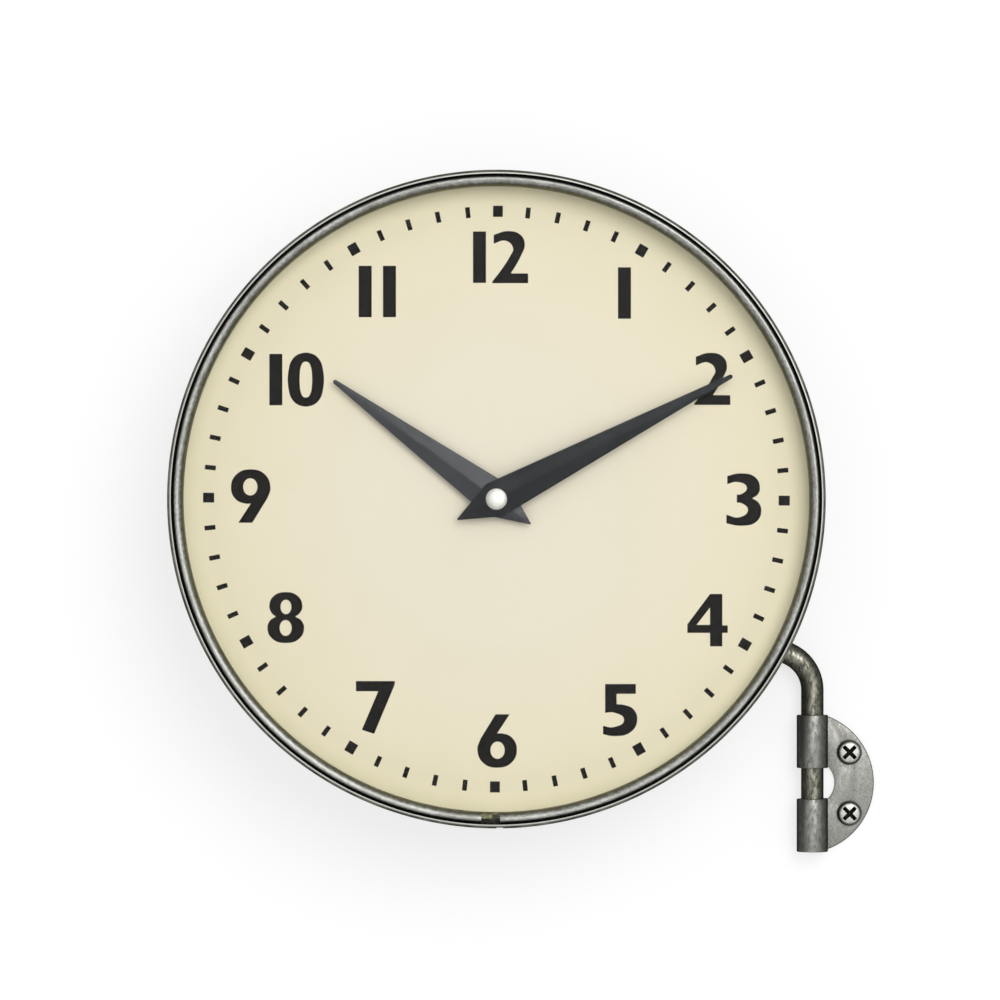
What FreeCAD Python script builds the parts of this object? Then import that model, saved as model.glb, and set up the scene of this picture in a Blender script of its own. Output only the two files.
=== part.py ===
import FreeCAD, Part
import math
import os

# A double sided station clock on a swing arm. Millimetres, +Z up, the front dial looks along -Y.
# The origin lies on the wall, midway between the two wall screws, on the back of the bracket's leaf.
#
# Each face is built in its own frame: x to the viewer's right, y up, z out of the drum towards the
# viewer, with z = 0 halfway through the drum. place_on_face() then turns it to the front or the rear.

# ---------------------------------------------------------------- driving dimensions: the drum
CASE_RADIUS = 150.0             # outside of the drum's wall; its depth follows from what it holds
CASE_SHEET = 0.9                # rolled steel sheet
LIP_STEP = 1.1                  # how far each lip is set in from the wall
LIP_LENGTH = 2.5
SHOULDER_LENGTH = 1.5           # slope that joins the lip to the wall
SHEET_BEND = 0.5                # inside radius of the two bends in each shoulder
PRY_SLOT_WIDTH = 3.2            # slot through the wall at 6 o'clock, behind each lip
PRY_SLOT_LENGTH = 7.0
PRY_SLOT_OFFSET = 1.5           # to the viewer's right of 6 o'clock
WALL_GAP = 1.0                  # from the drum's rear lip to the wall

# ---------------------------------------------------------------- the ledge that each dial rests on
LEDGE_SHEET = 1.0
LEDGE_REACH = 11.0              # from the drum's wall inwards
LEDGE_SKIRT = 9.0

# ---------------------------------------------------------------- dial, seat ring, glass and bezel
DIAL_FIT = 3.1                  # radial, inside the drum's wall
DIAL_SHEET = 0.8
SEAT_FIT = 3.3                  # radial, inside the drum's wall
SEAT_FLANGE = 4.2               # width of the ring's face under the glass
SEAT_SHEET = 1.0
SEAT_NOTCH_WIDTH = 3.3          # half-round pry notch at 6 o'clock
SEAT_NOTCH_DEPTH = 1.9
GLASS_FIT = 2.8                 # radial, inside the drum's wall
GLASS_THICKNESS = 2.0
GLASS_CLEARANCE = 1.3           # over the cap of the hands
BEZEL_WIDTH = 4.4               # of the rounded bead
BEZEL_GAP = 0.9                 # between the bead and the lip
BEZEL_ROUND = 1.3               # radius of the bead's outer shoulder
BEZEL_RECESS = 0.6              # bead's crown behind the lip's edge
BEZEL_FOOT = 1.0                # flange that snaps in behind the drum's shoulder
BEZEL_FOOT_REACH = 0.8          # past the lip
BEZEL_SNAP = 0.2                # clearance of the foot under the shoulder
BEZEL_INNER_EDGE = 1.2          # height of the bead's inner edge above the glass
BEZEL_SPLIT = 8.4               # between the sprung ring's two ends
BEZEL_SPLIT_OFFSET = -2.6       # of the split's middle from 6 o'clock

# ---------------------------------------------------------------- movement: tray, cover and dial fixing
MOVEMENT_CORNER = 3.0
MOVEMENT_DEPTH = 15.0
MOVEMENT_WALL = 1.2
MOVEMENT_SPACE = 7.4            # between the two movements, for their setting knobs
COVER_FIT = 0.1                 # around the cover inside the tray
BUSH_RADIUS = 4.0               # threaded bush that holds the movement to the dial
BUSH_END = 0.5                  # past the nut
DIAL_HOLE_FIT = 0.1
RUBBER_WASHER = 1.0
RUBBER_WASHER_RADIUS = 9.0
DIAL_WASHER = 0.5
DIAL_WASHER_RADIUS = 7.0
NUT_HEIGHT = 2.0
NUT_ACROSS_FLATS = 11.0
NUT_SIDES = 6
THREAD_FIT = 0.05

# ---------------------------------------------------------------- movement: battery and drive
CELL_RADIUS = 7.1
CELL_LENGTH = 49.2
CELL_BUTTON_RADIUS = 2.75
CELL_BUTTON = 1.0
CELL_FIT = 0.3
CONTACT_SHEET = 0.4
CONTACT_WIDTH = 9.0
CONTACT_FIT = 0.8               # from the contacts to the tray's walls
DRIVE_WIDTH = 26.0
DRIVE_HEIGHT = 18.0
DRIVE_OVER_CELL = 0.8           # from the wall beside the battery up to the drive unit
DRIVE_FIT = 0.3                 # between the drive unit and the wheels over it
STATOR_SHEET = 0.8
STATOR_REACH = 10.0
STATOR_ARM = 4.0
STATOR_SPAN = 14.0              # between the middles of the stator's two arms
COIL_FLANGE = 7.2
COIL_FLANGE_SHEET = 1.2
COIL_RADIUS = 3.0
BOARD_WIDTH = 10.0
BOARD_LENGTH = 30.0
BOARD_SHEET = 1.0
BOARD_STANDOFF = 1.2
CHIP_RADIUS = 3.5
CHIP_HEIGHT = 1.2

# ---------------------------------------------------------------- motion work
MODULE = 0.6                    # of the minute pinion and the motion wheel
MINUTE_PINION_TEETH = 10
MOTION_PINION_TEETH = 8
MINUTE_STEP = 3                 # the two steps together turn the hour hand once in 12 turns
HOUR_STEP = 4
SETTING_TEETH = 20
SETTING_DIRECTION = 24.0        # of the setting gear from the motion wheel, degrees
ADDENDUM = 0.75                 # tooth proportions, in modules
DEDENDUM = 1.15
TOOTH_AT_ROOT = 0.54            # tooth widths, as shares of the tooth spacing
TOOTH_AT_PITCH = 0.42
TOOTH_AT_TIP = 0.20
RUNNING_FIT = 0.06              # radial, on every pivot that turns
END_PLAY = 0.2
WHEEL_THICKNESS = 1.2
PINION_MARGIN = 0.3             # pinion face past the wheel's, each side
WHEEL_GAP = 0.5                 # between wheels that pass over each other
HOUR_BOSS = 1.7
HOUR_BOSS_RADIUS = 3.5
HOUR_PIPE_RADIUS = 2.5
MINUTE_ARBOR_RADIUS = 1.75
MINUTE_SHAFT_RADIUS = 1.5       # lower part, through the drive unit
PIVOT_RADIUS = 0.75
STUD_RADIUS = 0.8               # fixed stud that the motion wheel turns on
STUD_SOCKET = 1.2
POST_RADIUS = 2.2
SETTING_SHAFT_RADIUS = 1.5
SETTING_PIVOT_RADIUS = 0.9
SETTING_SOCKET = 2.4
KNOB_RADIUS = 6.0
KNOB_HEIGHT = 1.9
KNOB_GAP = 0.4
KNOB_FLUTES = 12
KNOB_FLUTE_RADIUS = 0.7

# ---------------------------------------------------------------- hands
HOUR_HAND_LENGTH = 92.0
HOUR_HAND_TAIL = 19.4
HOUR_HAND_HALF_WIDTH = 8.6
HOUR_HAND_ANGLE = 306.0         # clockwise from 12
MINUTE_HAND_LENGTH = 121.6
MINUTE_HAND_TAIL = 20.2
MINUTE_HAND_HALF_WIDTH = 8.35
MINUTE_HAND_ANGLE = 62.4
HAND_WIDEST_BACK = 1.0          # widest place behind the axis
HAND_EDGE = 0.4
HAND_CREST = 1.3
HAND_TIP_RADIUS = 1.0
HOUR_HAND_LIFT = 0.7            # over the end of the bush
HAND_GAP = 1.0                  # between the two hands
HAND_SEAT = 0.7                 # thickness of the minute hand under its cap
HAND_SEAT_RADIUS = 5.8
ARBOR_THREAD_RADIUS = 1.4
CAP_RADIUS = 4.85
CAP_SIDE = 0.9
CAP_HEIGHT = 1.8
CAP_BORE_END = 0.5              # metal left over the thread

# ---------------------------------------------------------------- swing arm
ARM_RADIUS = 5.25
ARM_BEND_RADIUS = 18.5          # of the arm's middle line
ARM_BEND_HEIGHT = 43.5          # bend's centre above the bracket's middle
ARM_BEND_ANGLE = 62.11          # turned from upright, towards the middle of the dial
ARM_STUB = 5.745                # straight length from the bend to the drum's wall
ARM_END_CHAMFER = 1.0

# ---------------------------------------------------------------- wall bracket
LEAF_SHEET = 2.0
LEAF_RADIUS = 33.2
LEAF_CENTRE_BACK = 4.1          # leaf's centre, past the pin on the side away from the screws
LEAF_RELIEF_RADIUS = 10.7
KNUCKLE_SPAN = 63.8             # over both knuckles
KNUCKLE_SPACE = 14.5            # between them
ROLL_SLIT = 0.3                 # where each rolled knuckle ends against the leaf
PLUG_THICKNESS = 2.0
PLUG_GAP = 0.05                 # grease film under the arm's foot
SCREW_SPACING = 28.6
SCREW_TO_PIN = 17.6
SCREW_RADIUS = 2.2              # of the thread
SCREW_NECK_RADIUS = 2.35        # plain neck inside the leaf
SCREW_HOLE_FIT = 0.15
SCREW_LENGTH = 30.0             # out of the leaf's back, into the wall
SCREW_POINT = 5.0
SCREW_HEAD_RADIUS = 5.6
SCREW_HEAD_EDGE = 1.2
SCREW_HEAD_HEIGHT = 3.2
CROSS_LENGTH = 6.4
CROSS_WIDTH = 1.5
CROSS_DEPTH = 2.2

# ---------------------------------------------------------------- worked out from the above
case_inner = CASE_RADIUS - CASE_SHEET
lip_outer = CASE_RADIUS - LIP_STEP
lip_inner = lip_outer - CASE_SHEET
bezel_outer = lip_inner - BEZEL_GAP
bezel_inner = bezel_outer - BEZEL_WIDTH
dial_radius = case_inner - DIAL_FIT
glass_radius = case_inner - GLASS_FIT
seat_outer = case_inner - SEAT_FIT
seat_inner = seat_outer - SEAT_FLANGE

z_cover = MOVEMENT_SPACE / 2
z_cover_inside = z_cover + MOVEMENT_WALL
z_tray = z_cover + MOVEMENT_DEPTH
z_tray_inside = z_tray - MOVEMENT_WALL
z_ledge = z_tray + RUBBER_WASHER
z_dial = z_ledge + DIAL_SHEET
z_nut = z_dial + DIAL_WASHER
z_bush = z_nut + NUT_HEIGHT + BUSH_END
z_hour_hand = z_bush + HOUR_HAND_LIFT
z_minute_hand = z_hour_hand + HAND_CREST + HAND_GAP
z_cap = z_minute_hand + HAND_SEAT
z_cap_top = z_cap + CAP_HEIGHT
z_arbor_end = z_cap_top - CAP_BORE_END
z_seat = z_cap_top + GLASS_CLEARANCE
z_glass = z_seat + GLASS_THICKNESS
z_foot = z_glass + BEZEL_FOOT
z_shoulder = z_foot + BEZEL_SNAP
z_step = z_shoulder + SHOULDER_LENGTH
z_lip = z_step + LIP_LENGTH

motion_wheel_teeth = MINUTE_PINION_TEETH * MINUTE_STEP
hour_wheel_teeth = MOTION_PINION_TEETH * HOUR_STEP
motion_distance = MODULE * (MINUTE_PINION_TEETH + motion_wheel_teeth) / 2
hour_module = 2 * motion_distance / (MOTION_PINION_TEETH + hour_wheel_teeth)
setting_distance = MODULE * (SETTING_TEETH + motion_wheel_teeth) / 2
setting_x = setting_distance * math.cos(math.radians(SETTING_DIRECTION))
setting_y = motion_distance + setting_distance * math.sin(math.radians(SETTING_DIRECTION))

z_hour_boss = z_tray_inside - END_PLAY
z_hour_wheel_top = z_hour_boss - HOUR_BOSS
z_hour_wheel = z_hour_wheel_top - WHEEL_THICKNESS
z_minute_pinion_top = z_hour_wheel - WHEEL_GAP
z_motion_wheel_top = z_minute_pinion_top - PINION_MARGIN
z_motion_wheel = z_motion_wheel_top - WHEEL_THICKNESS
z_minute_pinion = z_motion_wheel - PINION_MARGIN
z_drive_top = z_minute_pinion - DRIVE_FIT

tray_half = CELL_LENGTH / 2 + CELL_BUTTON + CONTACT_SHEET + CONTACT_FIT
cell_y = -tray_half + CELL_FIT + CELL_RADIUS
cell_z = z_tray_inside - CELL_FIT - CELL_RADIUS
divider_low = cell_y + CELL_RADIUS + CELL_FIT
divider_high = divider_low + MOVEMENT_WALL
drive_low = divider_high + DRIVE_OVER_CELL
drive_high = drive_low + DRIVE_HEIGHT

knuckle_inner = ARM_RADIUS + RUNNING_FIT
knuckle_outer = knuckle_inner + LEAF_SHEET
pin_x = -SCREW_TO_PIN
pin_y = -knuckle_outer
plug_top = -KNUCKLE_SPAN / 2 + PLUG_THICKNESS

bend_sine = math.sin(math.radians(ARM_BEND_ANGLE))
bend_cosine = math.cos(math.radians(ARM_BEND_ANGLE))
bend_end_x = pin_x - ARM_BEND_RADIUS * (1 - bend_cosine)
bend_end_z = ARM_BEND_HEIGHT + ARM_BEND_RADIUS * bend_sine
clock_x = bend_end_x - (ARM_STUB + CASE_RADIUS) * bend_sine
clock_y = -WALL_GAP - z_lip
clock_z = bend_end_z + (ARM_STUB + CASE_RADIUS) * bend_cosine

X_AXIS = FreeCAD.Vector(1, 0, 0)
Y_AXIS = FreeCAD.Vector(0, 1, 0)
Z_AXIS = FreeCAD.Vector(0, 0, 1)
QUARTER = math.sqrt(0.5)        # sine and cosine of 45 degrees
UP, DOWN = 90.0, 270.0          # directions on the dial, in degrees


# ---------------------------------------------------------------- shared building blocks
def vec(x, y, z=0.0):
    return FreeCAD.Vector(x, y, z)


def cylinder(radius, z_low, z_high, x=0.0, y=0.0):
    """A cylinder along z between two heights."""
    return Part.makeCylinder(radius, z_high - z_low, vec(x, y, z_low))


def tube(outer, inner, z_low, z_high, x=0.0, y=0.0):
    return cylinder(outer, z_low, z_high, x, y).cut(cylinder(inner, z_low, z_high, x, y))


def block(x_low, x_high, y_low, y_high, z_low, z_high):
    corner = vec(x_low, y_low, z_low)
    return Part.makeBox(x_high - x_low, y_high - y_low, z_high - z_low, corner)


def line(a, b):
    return Part.LineSegment(a, b).toShape()


def arc(a, middle, b):
    return Part.Arc(a, middle, b).toShape()


def turned(edges, angle=360.0):
    """Turn a closed profile, drawn in the xz plane, about the z axis."""
    return Part.Face(Part.Wire(edges)).revolve(vec(0, 0), Z_AXIS, angle)


def turned_points(points):
    """Turn a straight-sided profile of (radius, z) points about the z axis."""
    corners = [vec(radius, 0, z) for radius, z in points]
    return Part.Face(Part.makePolygon(corners + corners[:1])).revolve(vec(0, 0), Z_AXIS, 360)


def prism(edges, z_low, z_high):
    """Extrude a closed outline, drawn in the xy plane, between two heights."""
    solid = Part.Face(Part.Wire(edges)).extrude(vec(0, 0, z_high - z_low))
    solid.translate(vec(0, 0, z_low))
    return solid


def polygon_edges(points):
    return [line(vec(*a), vec(*b)) for a, b in zip(points, points[1:] + points[:1])]


def rounded_square(size, corner, z_low, z_high):
    """A square bar along z with its four long edges rounded."""
    bar = block(-size / 2, size / 2, -size / 2, size / 2, z_low, z_high)
    upright = [e for e in bar.Edges if abs(e.Vertexes[0].Z - e.Vertexes[1].Z) > corner]
    return bar.makeFillet(corner, upright)


# ---------------------------------------------------------------- gears
def on_circle(radius, degrees):
    return vec(radius * math.cos(math.radians(degrees)), radius * math.sin(math.radians(degrees)))


def gear_blank(teeth, module, first_tooth, z_low, z_high):
    """A disc of straight-flanked teeth with rounded tips, one tooth's middle at first_tooth degrees."""
    spacing = 360 / teeth
    pitch_radius = module * teeth / 2
    tip_radius = pitch_radius + ADDENDUM * module
    root_radius = pitch_radius - DEDENDUM * module
    crown = tip_radius - module * (TOOTH_AT_PITCH - TOOTH_AT_TIP)
    edges = []
    for number in range(teeth):
        middle = first_tooth + number * spacing
        shares = (TOOTH_AT_ROOT, TOOTH_AT_PITCH, TOOTH_AT_TIP)
        root, pitch, tip = (share * spacing / 2 for share in shares)
        left = [on_circle(root_radius, middle - root), on_circle(pitch_radius, middle - pitch),
                on_circle(crown, middle - tip)]
        right = [on_circle(crown, middle + tip), on_circle(pitch_radius, middle + pitch),
                 on_circle(root_radius, middle + root)]
        following = on_circle(root_radius, middle + spacing - root)
        edges += [line(left[0], left[1]), line(left[1], left[2])]
        edges += [arc(left[2], on_circle(tip_radius, middle), right[0])]
        edges += [line(right[0], right[1]), line(right[1], right[2]), line(right[2], following)]
    return prism(edges, z_low, z_high)


def meshing_tooth(teeth, first_tooth, direction, other_teeth):
    """Where a gear that lies in this direction has its first tooth, so that the two are in mesh."""
    past_tooth = (direction - first_tooth) % (360 / teeth)
    gap_turn = past_tooth * teeth / other_teeth
    return direction + 180 + gap_turn + 180 / other_teeth


# ---------------------------------------------------------------- the drum
def drum_profile(inset):
    """The drum's outline from lip to lip, moved inwards by inset."""
    wall, lip = CASE_RADIUS - inset, lip_outer - inset
    upper = [(wall, z_shoulder), (lip, z_step), (lip, z_lip)]
    return [(radius, -z) for radius, z in reversed(upper)] + upper


def with_bends(solid, inset, wall_bend, lip_bend):
    """Round the shoulders' bends on the drum's surface that lies this far in from its outside."""
    for radius, height, bend in ((CASE_RADIUS - inset, z_shoulder, wall_bend),
                                 (lip_outer - inset, z_step, lip_bend)):
        corners = [edge for edge in solid.Edges
                   if isinstance(edge.Curve, Part.Circle)
                   and math.isclose(edge.Curve.Radius, radius, abs_tol=SHEET_BEND / 10)
                   and math.isclose(abs(edge.Curve.Center.z), height, abs_tol=SHEET_BEND / 10)]
        solid = solid.makeFillet(bend, corners)
    return solid


def drum_envelope():
    """The drum filled in, which whatever meets its outside is cut by."""
    envelope = turned_points([(0, -z_lip)] + drum_profile(0) + [(0, z_lip)])
    return with_bends(envelope, 0, SHEET_BEND + CASE_SHEET, SHEET_BEND)


def case_band():
    """Drum of rolled sheet, whose two lips are set in and which has a slot to pry at each bezel."""
    band = turned_points(drum_profile(0) + list(reversed(drum_profile(CASE_SHEET))))
    band = with_bends(band, 0, SHEET_BEND + CASE_SHEET, SHEET_BEND)
    band = with_bends(band, CASE_SHEET, SHEET_BEND, SHEET_BEND + CASE_SHEET)
    for side in (1, -1):
        middle = side * PRY_SLOT_OFFSET
        ends = sorted((side * z_step, side * (z_step - PRY_SLOT_LENGTH)))
        slot = block(middle - PRY_SLOT_WIDTH / 2, middle + PRY_SLOT_WIDTH / 2,
                     -CASE_RADIUS - CASE_SHEET, -lip_inner, *ends)
        band = band.cut(slot)
    return band


def ledge_ring():
    """Angle-section ring fixed in the drum, which the dial rests on."""
    flange_low = z_ledge - LEDGE_SHEET
    return turned_points([
        (case_inner, z_ledge), (case_inner, z_ledge - LEDGE_SKIRT),
        (case_inner - LEDGE_SHEET, z_ledge - LEDGE_SKIRT), (case_inner - LEDGE_SHEET, flange_low),
        (case_inner - LEDGE_REACH, flange_low), (case_inner - LEDGE_REACH, z_ledge)])


# ---------------------------------------------------------------- dial, seat ring, glass and bezel
def dial():
    return tube(dial_radius, BUSH_RADIUS + DIAL_HOLE_FIT, z_ledge, z_dial)


def seat_ring():
    """Pressed ring between dial and glass, with a half-round notch to pry the glass from."""
    wall = seat_inner + SEAT_SHEET
    ring = turned_points([
        (seat_inner, z_dial), (wall, z_dial), (wall, z_seat - SEAT_SHEET),
        (seat_outer, z_seat - SEAT_SHEET), (seat_outer, z_seat), (seat_inner, z_seat)])
    half = SEAT_NOTCH_WIDTH / 2
    notch_y = -seat_outer + SEAT_NOTCH_DEPTH - half
    notch = cylinder(half, z_seat - SEAT_SHEET, z_seat, 0, notch_y)
    mouth = block(-half, half, -seat_outer - half, notch_y, z_seat - SEAT_SHEET, z_seat)
    return ring.cut(notch.fuse(mouth))


def glass():
    return cylinder(glass_radius, z_seat, z_glass)


def bezel_ring():
    """Sprung ring with a rounded bead that holds the glass, split near 6 o'clock."""
    foot_outer = lip_inner + BEZEL_FOOT_REACH
    z_crown = z_lip - BEZEL_RECESS
    crown_radius = bezel_outer - BEZEL_ROUND
    z_edge = z_glass + BEZEL_INNER_EDGE
    outside = [vec(bezel_inner, 0, z_glass), vec(foot_outer, 0, z_glass), vec(foot_outer, 0, z_foot),
               vec(bezel_outer, 0, z_foot), vec(bezel_outer, 0, z_crown - BEZEL_ROUND)]
    crown = vec(crown_radius, 0, z_crown)
    edge = vec(bezel_inner, 0, z_edge)
    shoulder = vec(crown_radius + BEZEL_ROUND * QUARTER, 0, z_crown - BEZEL_ROUND * (1 - QUARTER))
    slope = vec(crown_radius - (crown_radius - bezel_inner) * QUARTER, 0,
                z_edge + (z_crown - z_edge) * QUARTER)
    edges = [line(a, b) for a, b in zip(outside, outside[1:])]
    edges += [arc(outside[-1], shoulder, crown), arc(crown, slope, edge), line(edge, outside[0])]
    split = block(BEZEL_SPLIT_OFFSET - BEZEL_SPLIT / 2, BEZEL_SPLIT_OFFSET + BEZEL_SPLIT / 2,
                  -CASE_RADIUS, 0, z_glass, z_lip)
    return turned(edges).cut(split)


# ---------------------------------------------------------------- movement
def movement_tray():
    """Moulded tray with its threaded bush, the wall beside the battery and the wheels' stud and socket."""
    tray = rounded_square(2 * (tray_half + MOVEMENT_WALL), MOVEMENT_CORNER, z_cover, z_tray)
    hollow = rounded_square(2 * tray_half, MOVEMENT_CORNER - MOVEMENT_WALL, z_cover, z_tray_inside)
    tray = tray.cut(hollow)
    divider = block(-tray_half, tray_half, divider_low, divider_high, z_cover_inside, z_tray_inside)
    bush = cylinder(BUSH_RADIUS, z_tray, z_bush)
    stud = cylinder(STUD_RADIUS, z_motion_wheel - STUD_SOCKET, z_tray_inside, 0, motion_distance)
    socket = cylinder(POST_RADIUS, z_tray_inside - SETTING_SOCKET, z_tray_inside, setting_x, setting_y)
    tray = tray.fuse([divider, bush, stud, socket])
    hour_bore = cylinder(HOUR_PIPE_RADIUS + RUNNING_FIT, z_tray_inside, z_bush)
    pivot_bore = cylinder(SETTING_PIVOT_RADIUS + RUNNING_FIT, z_tray_inside - SETTING_SOCKET,
                          z_tray_inside, setting_x, setting_y)
    return tray.cut(hour_bore.fuse(pivot_bore)).removeSplitter()


def movement_cover():
    """Cover over the wheels, with the post under the motion wheel and pads under the circuit board."""
    side = tray_half - COVER_FIT
    cover = block(-side, side, divider_low, side, z_cover, z_cover_inside)
    corners = [e for e in cover.Edges
               if abs(e.Vertexes[0].Z - e.Vertexes[1].Z) > COVER_FIT and e.CenterOfMass.y > 0]
    cover = cover.makeFillet(MOVEMENT_CORNER - MOVEMENT_WALL, corners)
    post_top = z_motion_wheel - END_PLAY
    post = cylinder(POST_RADIUS, z_cover_inside, post_top, 0, motion_distance)
    pads = [cylinder(POST_RADIUS, z_cover_inside, z_cover_inside + BOARD_STANDOFF, board_x(), y)
            for y in board_pads()]
    cover = cover.fuse([post] + pads)
    holes = [cylinder(STUD_RADIUS + RUNNING_FIT, post_top - STUD_SOCKET, post_top, 0, motion_distance),
             cylinder(PIVOT_RADIUS + RUNNING_FIT, z_cover, z_cover_inside),
             cylinder(SETTING_SHAFT_RADIUS + RUNNING_FIT, z_cover, z_cover_inside, setting_x, setting_y)]
    return cover.cut(Part.makeCompound(holes))


def board_x():
    """Middle of the circuit board, beside the tray's wall."""
    return -tray_half + CELL_FIT + BOARD_WIDTH / 2


def board_pads():
    """The heights, up the dial, of the two pads under the circuit board."""
    middle = divider_high + CELL_FIT + BOARD_LENGTH / 2
    return [middle - BOARD_LENGTH / 3, middle + BOARD_LENGTH / 3]


def circuit_board():
    z_board = z_cover_inside + BOARD_STANDOFF
    x_low = board_x() - BOARD_WIDTH / 2
    y_low = divider_high + CELL_FIT
    board = block(x_low, x_low + BOARD_WIDTH, y_low, y_low + BOARD_LENGTH, z_board, z_board + BOARD_SHEET)
    z_chip = z_board + BOARD_SHEET
    chip = cylinder(CHIP_RADIUS, z_chip, z_chip + CHIP_HEIGHT, board_x(), board_pads()[1])
    return board.fuse(chip)


def drive_unit():
    """Sealed stepping unit around the minute arbor, which holds the rotor and its reduction wheels."""
    half = DRIVE_WIDTH / 2
    unit = block(-half, half, drive_low, drive_high, z_cover_inside, z_drive_top)
    bore = cylinder(MINUTE_SHAFT_RADIUS + RUNNING_FIT, z_cover_inside, z_drive_top)
    post = cylinder(POST_RADIUS + CELL_FIT, z_cover_inside, z_drive_top, 0, motion_distance)
    return unit.cut(bore.fuse(post))


def stator_top():
    return z_tray_inside - COIL_FLANGE - END_PLAY


def stator_arms():
    """Middles, up the dial, of the stator's two arms."""
    middle = (drive_low + drive_high) / 2
    return [middle - STATOR_SPAN / 2, middle + STATOR_SPAN / 2]


def stator():
    """Two iron arms from the drive unit to the ends of the coil, joined along the drive unit."""
    z_top = stator_top()
    z_low = z_top - STATOR_SHEET
    x_root = -DRIVE_WIDTH / 2
    low, high = stator_arms()
    bar = block(x_root - STATOR_ARM / 2, x_root, low, high, z_low, z_top)
    arms = [block(x_root - STATOR_REACH, x_root, y - STATOR_ARM / 2, y + STATOR_ARM / 2, z_low, z_top)
            for y in (low, high)]
    return bar.fuse(arms).removeSplitter()


def coil():
    """Winding between two square flanges, lying along the stator's arms."""
    x = -DRIVE_WIDTH / 2 - STATOR_REACH + COIL_FLANGE / 2
    low, high = stator_arms()
    z_low = stator_top()
    z_middle = z_low + COIL_FLANGE / 2
    winding = Part.makeCylinder(COIL_RADIUS, high - low, vec(x, low, z_middle), Y_AXIS)
    flanges = [block(x - COIL_FLANGE / 2, x + COIL_FLANGE / 2, y - COIL_FLANGE_SHEET / 2,
                     y + COIL_FLANGE_SHEET / 2, z_low, z_low + COIL_FLANGE) for y in (low, high)]
    return winding.fuse(flanges)


def battery():
    half = CELL_LENGTH / 2
    cell = Part.makeCylinder(CELL_RADIUS, CELL_LENGTH, vec(-half, cell_y, cell_z), X_AXIS)
    button = Part.makeCylinder(CELL_BUTTON_RADIUS, CELL_BUTTON, vec(half, cell_y, cell_z), X_AXIS)
    return cell.fuse(button)


def battery_contacts():
    """The plate at the button and the plate with its short cone at the flat end."""
    half = CELL_LENGTH / 2
    plates = []
    for x_low in (half + CELL_BUTTON, -half - CELL_BUTTON - CONTACT_SHEET):
        plates.append(block(x_low, x_low + CONTACT_SHEET, cell_y - CONTACT_WIDTH / 2,
                            cell_y + CONTACT_WIDTH / 2, cell_z - CONTACT_WIDTH / 2, z_tray_inside))
    spring = Part.makeCone(CONTACT_WIDTH / 2, CELL_BUTTON_RADIUS, CELL_BUTTON,
                           vec(-half - CELL_BUTTON, cell_y, cell_z), X_AXIS)
    return Part.makeCompound([plates[0], plates[1].fuse(spring)])


def rubber_washer():
    return tube(RUBBER_WASHER_RADIUS, BUSH_RADIUS + THREAD_FIT, z_tray, z_ledge)


def dial_washer():
    return tube(DIAL_WASHER_RADIUS, BUSH_RADIUS + THREAD_FIT, z_dial, z_nut)


def dial_nut():
    corner_radius = NUT_ACROSS_FLATS / 2 / math.cos(math.pi / NUT_SIDES)
    corners = [tuple(on_circle(corner_radius, 360 * number / NUT_SIDES)) for number in range(NUT_SIDES)]
    nut = prism(polygon_edges(corners), z_nut, z_nut + NUT_HEIGHT)
    return nut.cut(cylinder(BUSH_RADIUS + THREAD_FIT, z_nut, z_nut + NUT_HEIGHT))


# ---------------------------------------------------------------- motion work
def motion_wheel_tooth():
    """The motion wheel lies straight above the minute pinion, which has a tooth that points up at it."""
    return meshing_tooth(MINUTE_PINION_TEETH, UP, UP, motion_wheel_teeth)


def minute_arbor():
    """Centre arbor with the minute pinion, which carries the minute hand on its threaded end."""
    pinion = gear_blank(MINUTE_PINION_TEETH, MODULE, UP, z_minute_pinion, z_minute_pinion_top)
    steps = [(PIVOT_RADIUS, z_cover, z_cover_inside + END_PLAY),
             (MINUTE_SHAFT_RADIUS, z_cover_inside + END_PLAY, z_minute_pinion),
             (MINUTE_ARBOR_RADIUS, z_minute_pinion_top, z_minute_hand),
             (ARBOR_THREAD_RADIUS, z_minute_hand, z_arbor_end)]
    return pinion.fuse([cylinder(*step) for step in steps])


def motion_wheel():
    """Wheel and pinion in one, turning on the tray's stud between the minute and the hour."""
    first = motion_wheel_tooth()
    wheel = gear_blank(motion_wheel_teeth, MODULE, first, z_motion_wheel, z_motion_wheel_top)
    pinion = gear_blank(MOTION_PINION_TEETH, hour_module, DOWN, z_motion_wheel_top,
                        z_hour_wheel_top + PINION_MARGIN)
    bore = cylinder(STUD_RADIUS + RUNNING_FIT, z_motion_wheel, z_hour_wheel_top + PINION_MARGIN)
    solid = wheel.fuse(pinion).cut(bore)
    solid.translate(vec(0, motion_distance))
    return solid


def hour_wheel():
    """Hour wheel on its long pipe, which turns in the bush and carries the hour hand."""
    first = meshing_tooth(MOTION_PINION_TEETH, DOWN, DOWN, hour_wheel_teeth)
    wheel = gear_blank(hour_wheel_teeth, hour_module, first, z_hour_wheel, z_hour_wheel_top)
    boss = cylinder(HOUR_BOSS_RADIUS, z_hour_wheel_top, z_hour_boss)
    pipe = cylinder(HOUR_PIPE_RADIUS, z_hour_boss, z_hour_hand + HAND_CREST)
    bore = cylinder(MINUTE_ARBOR_RADIUS + RUNNING_FIT, z_hour_wheel, z_hour_hand + HAND_CREST)
    return wheel.fuse([boss, pipe]).cut(bore)


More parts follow.
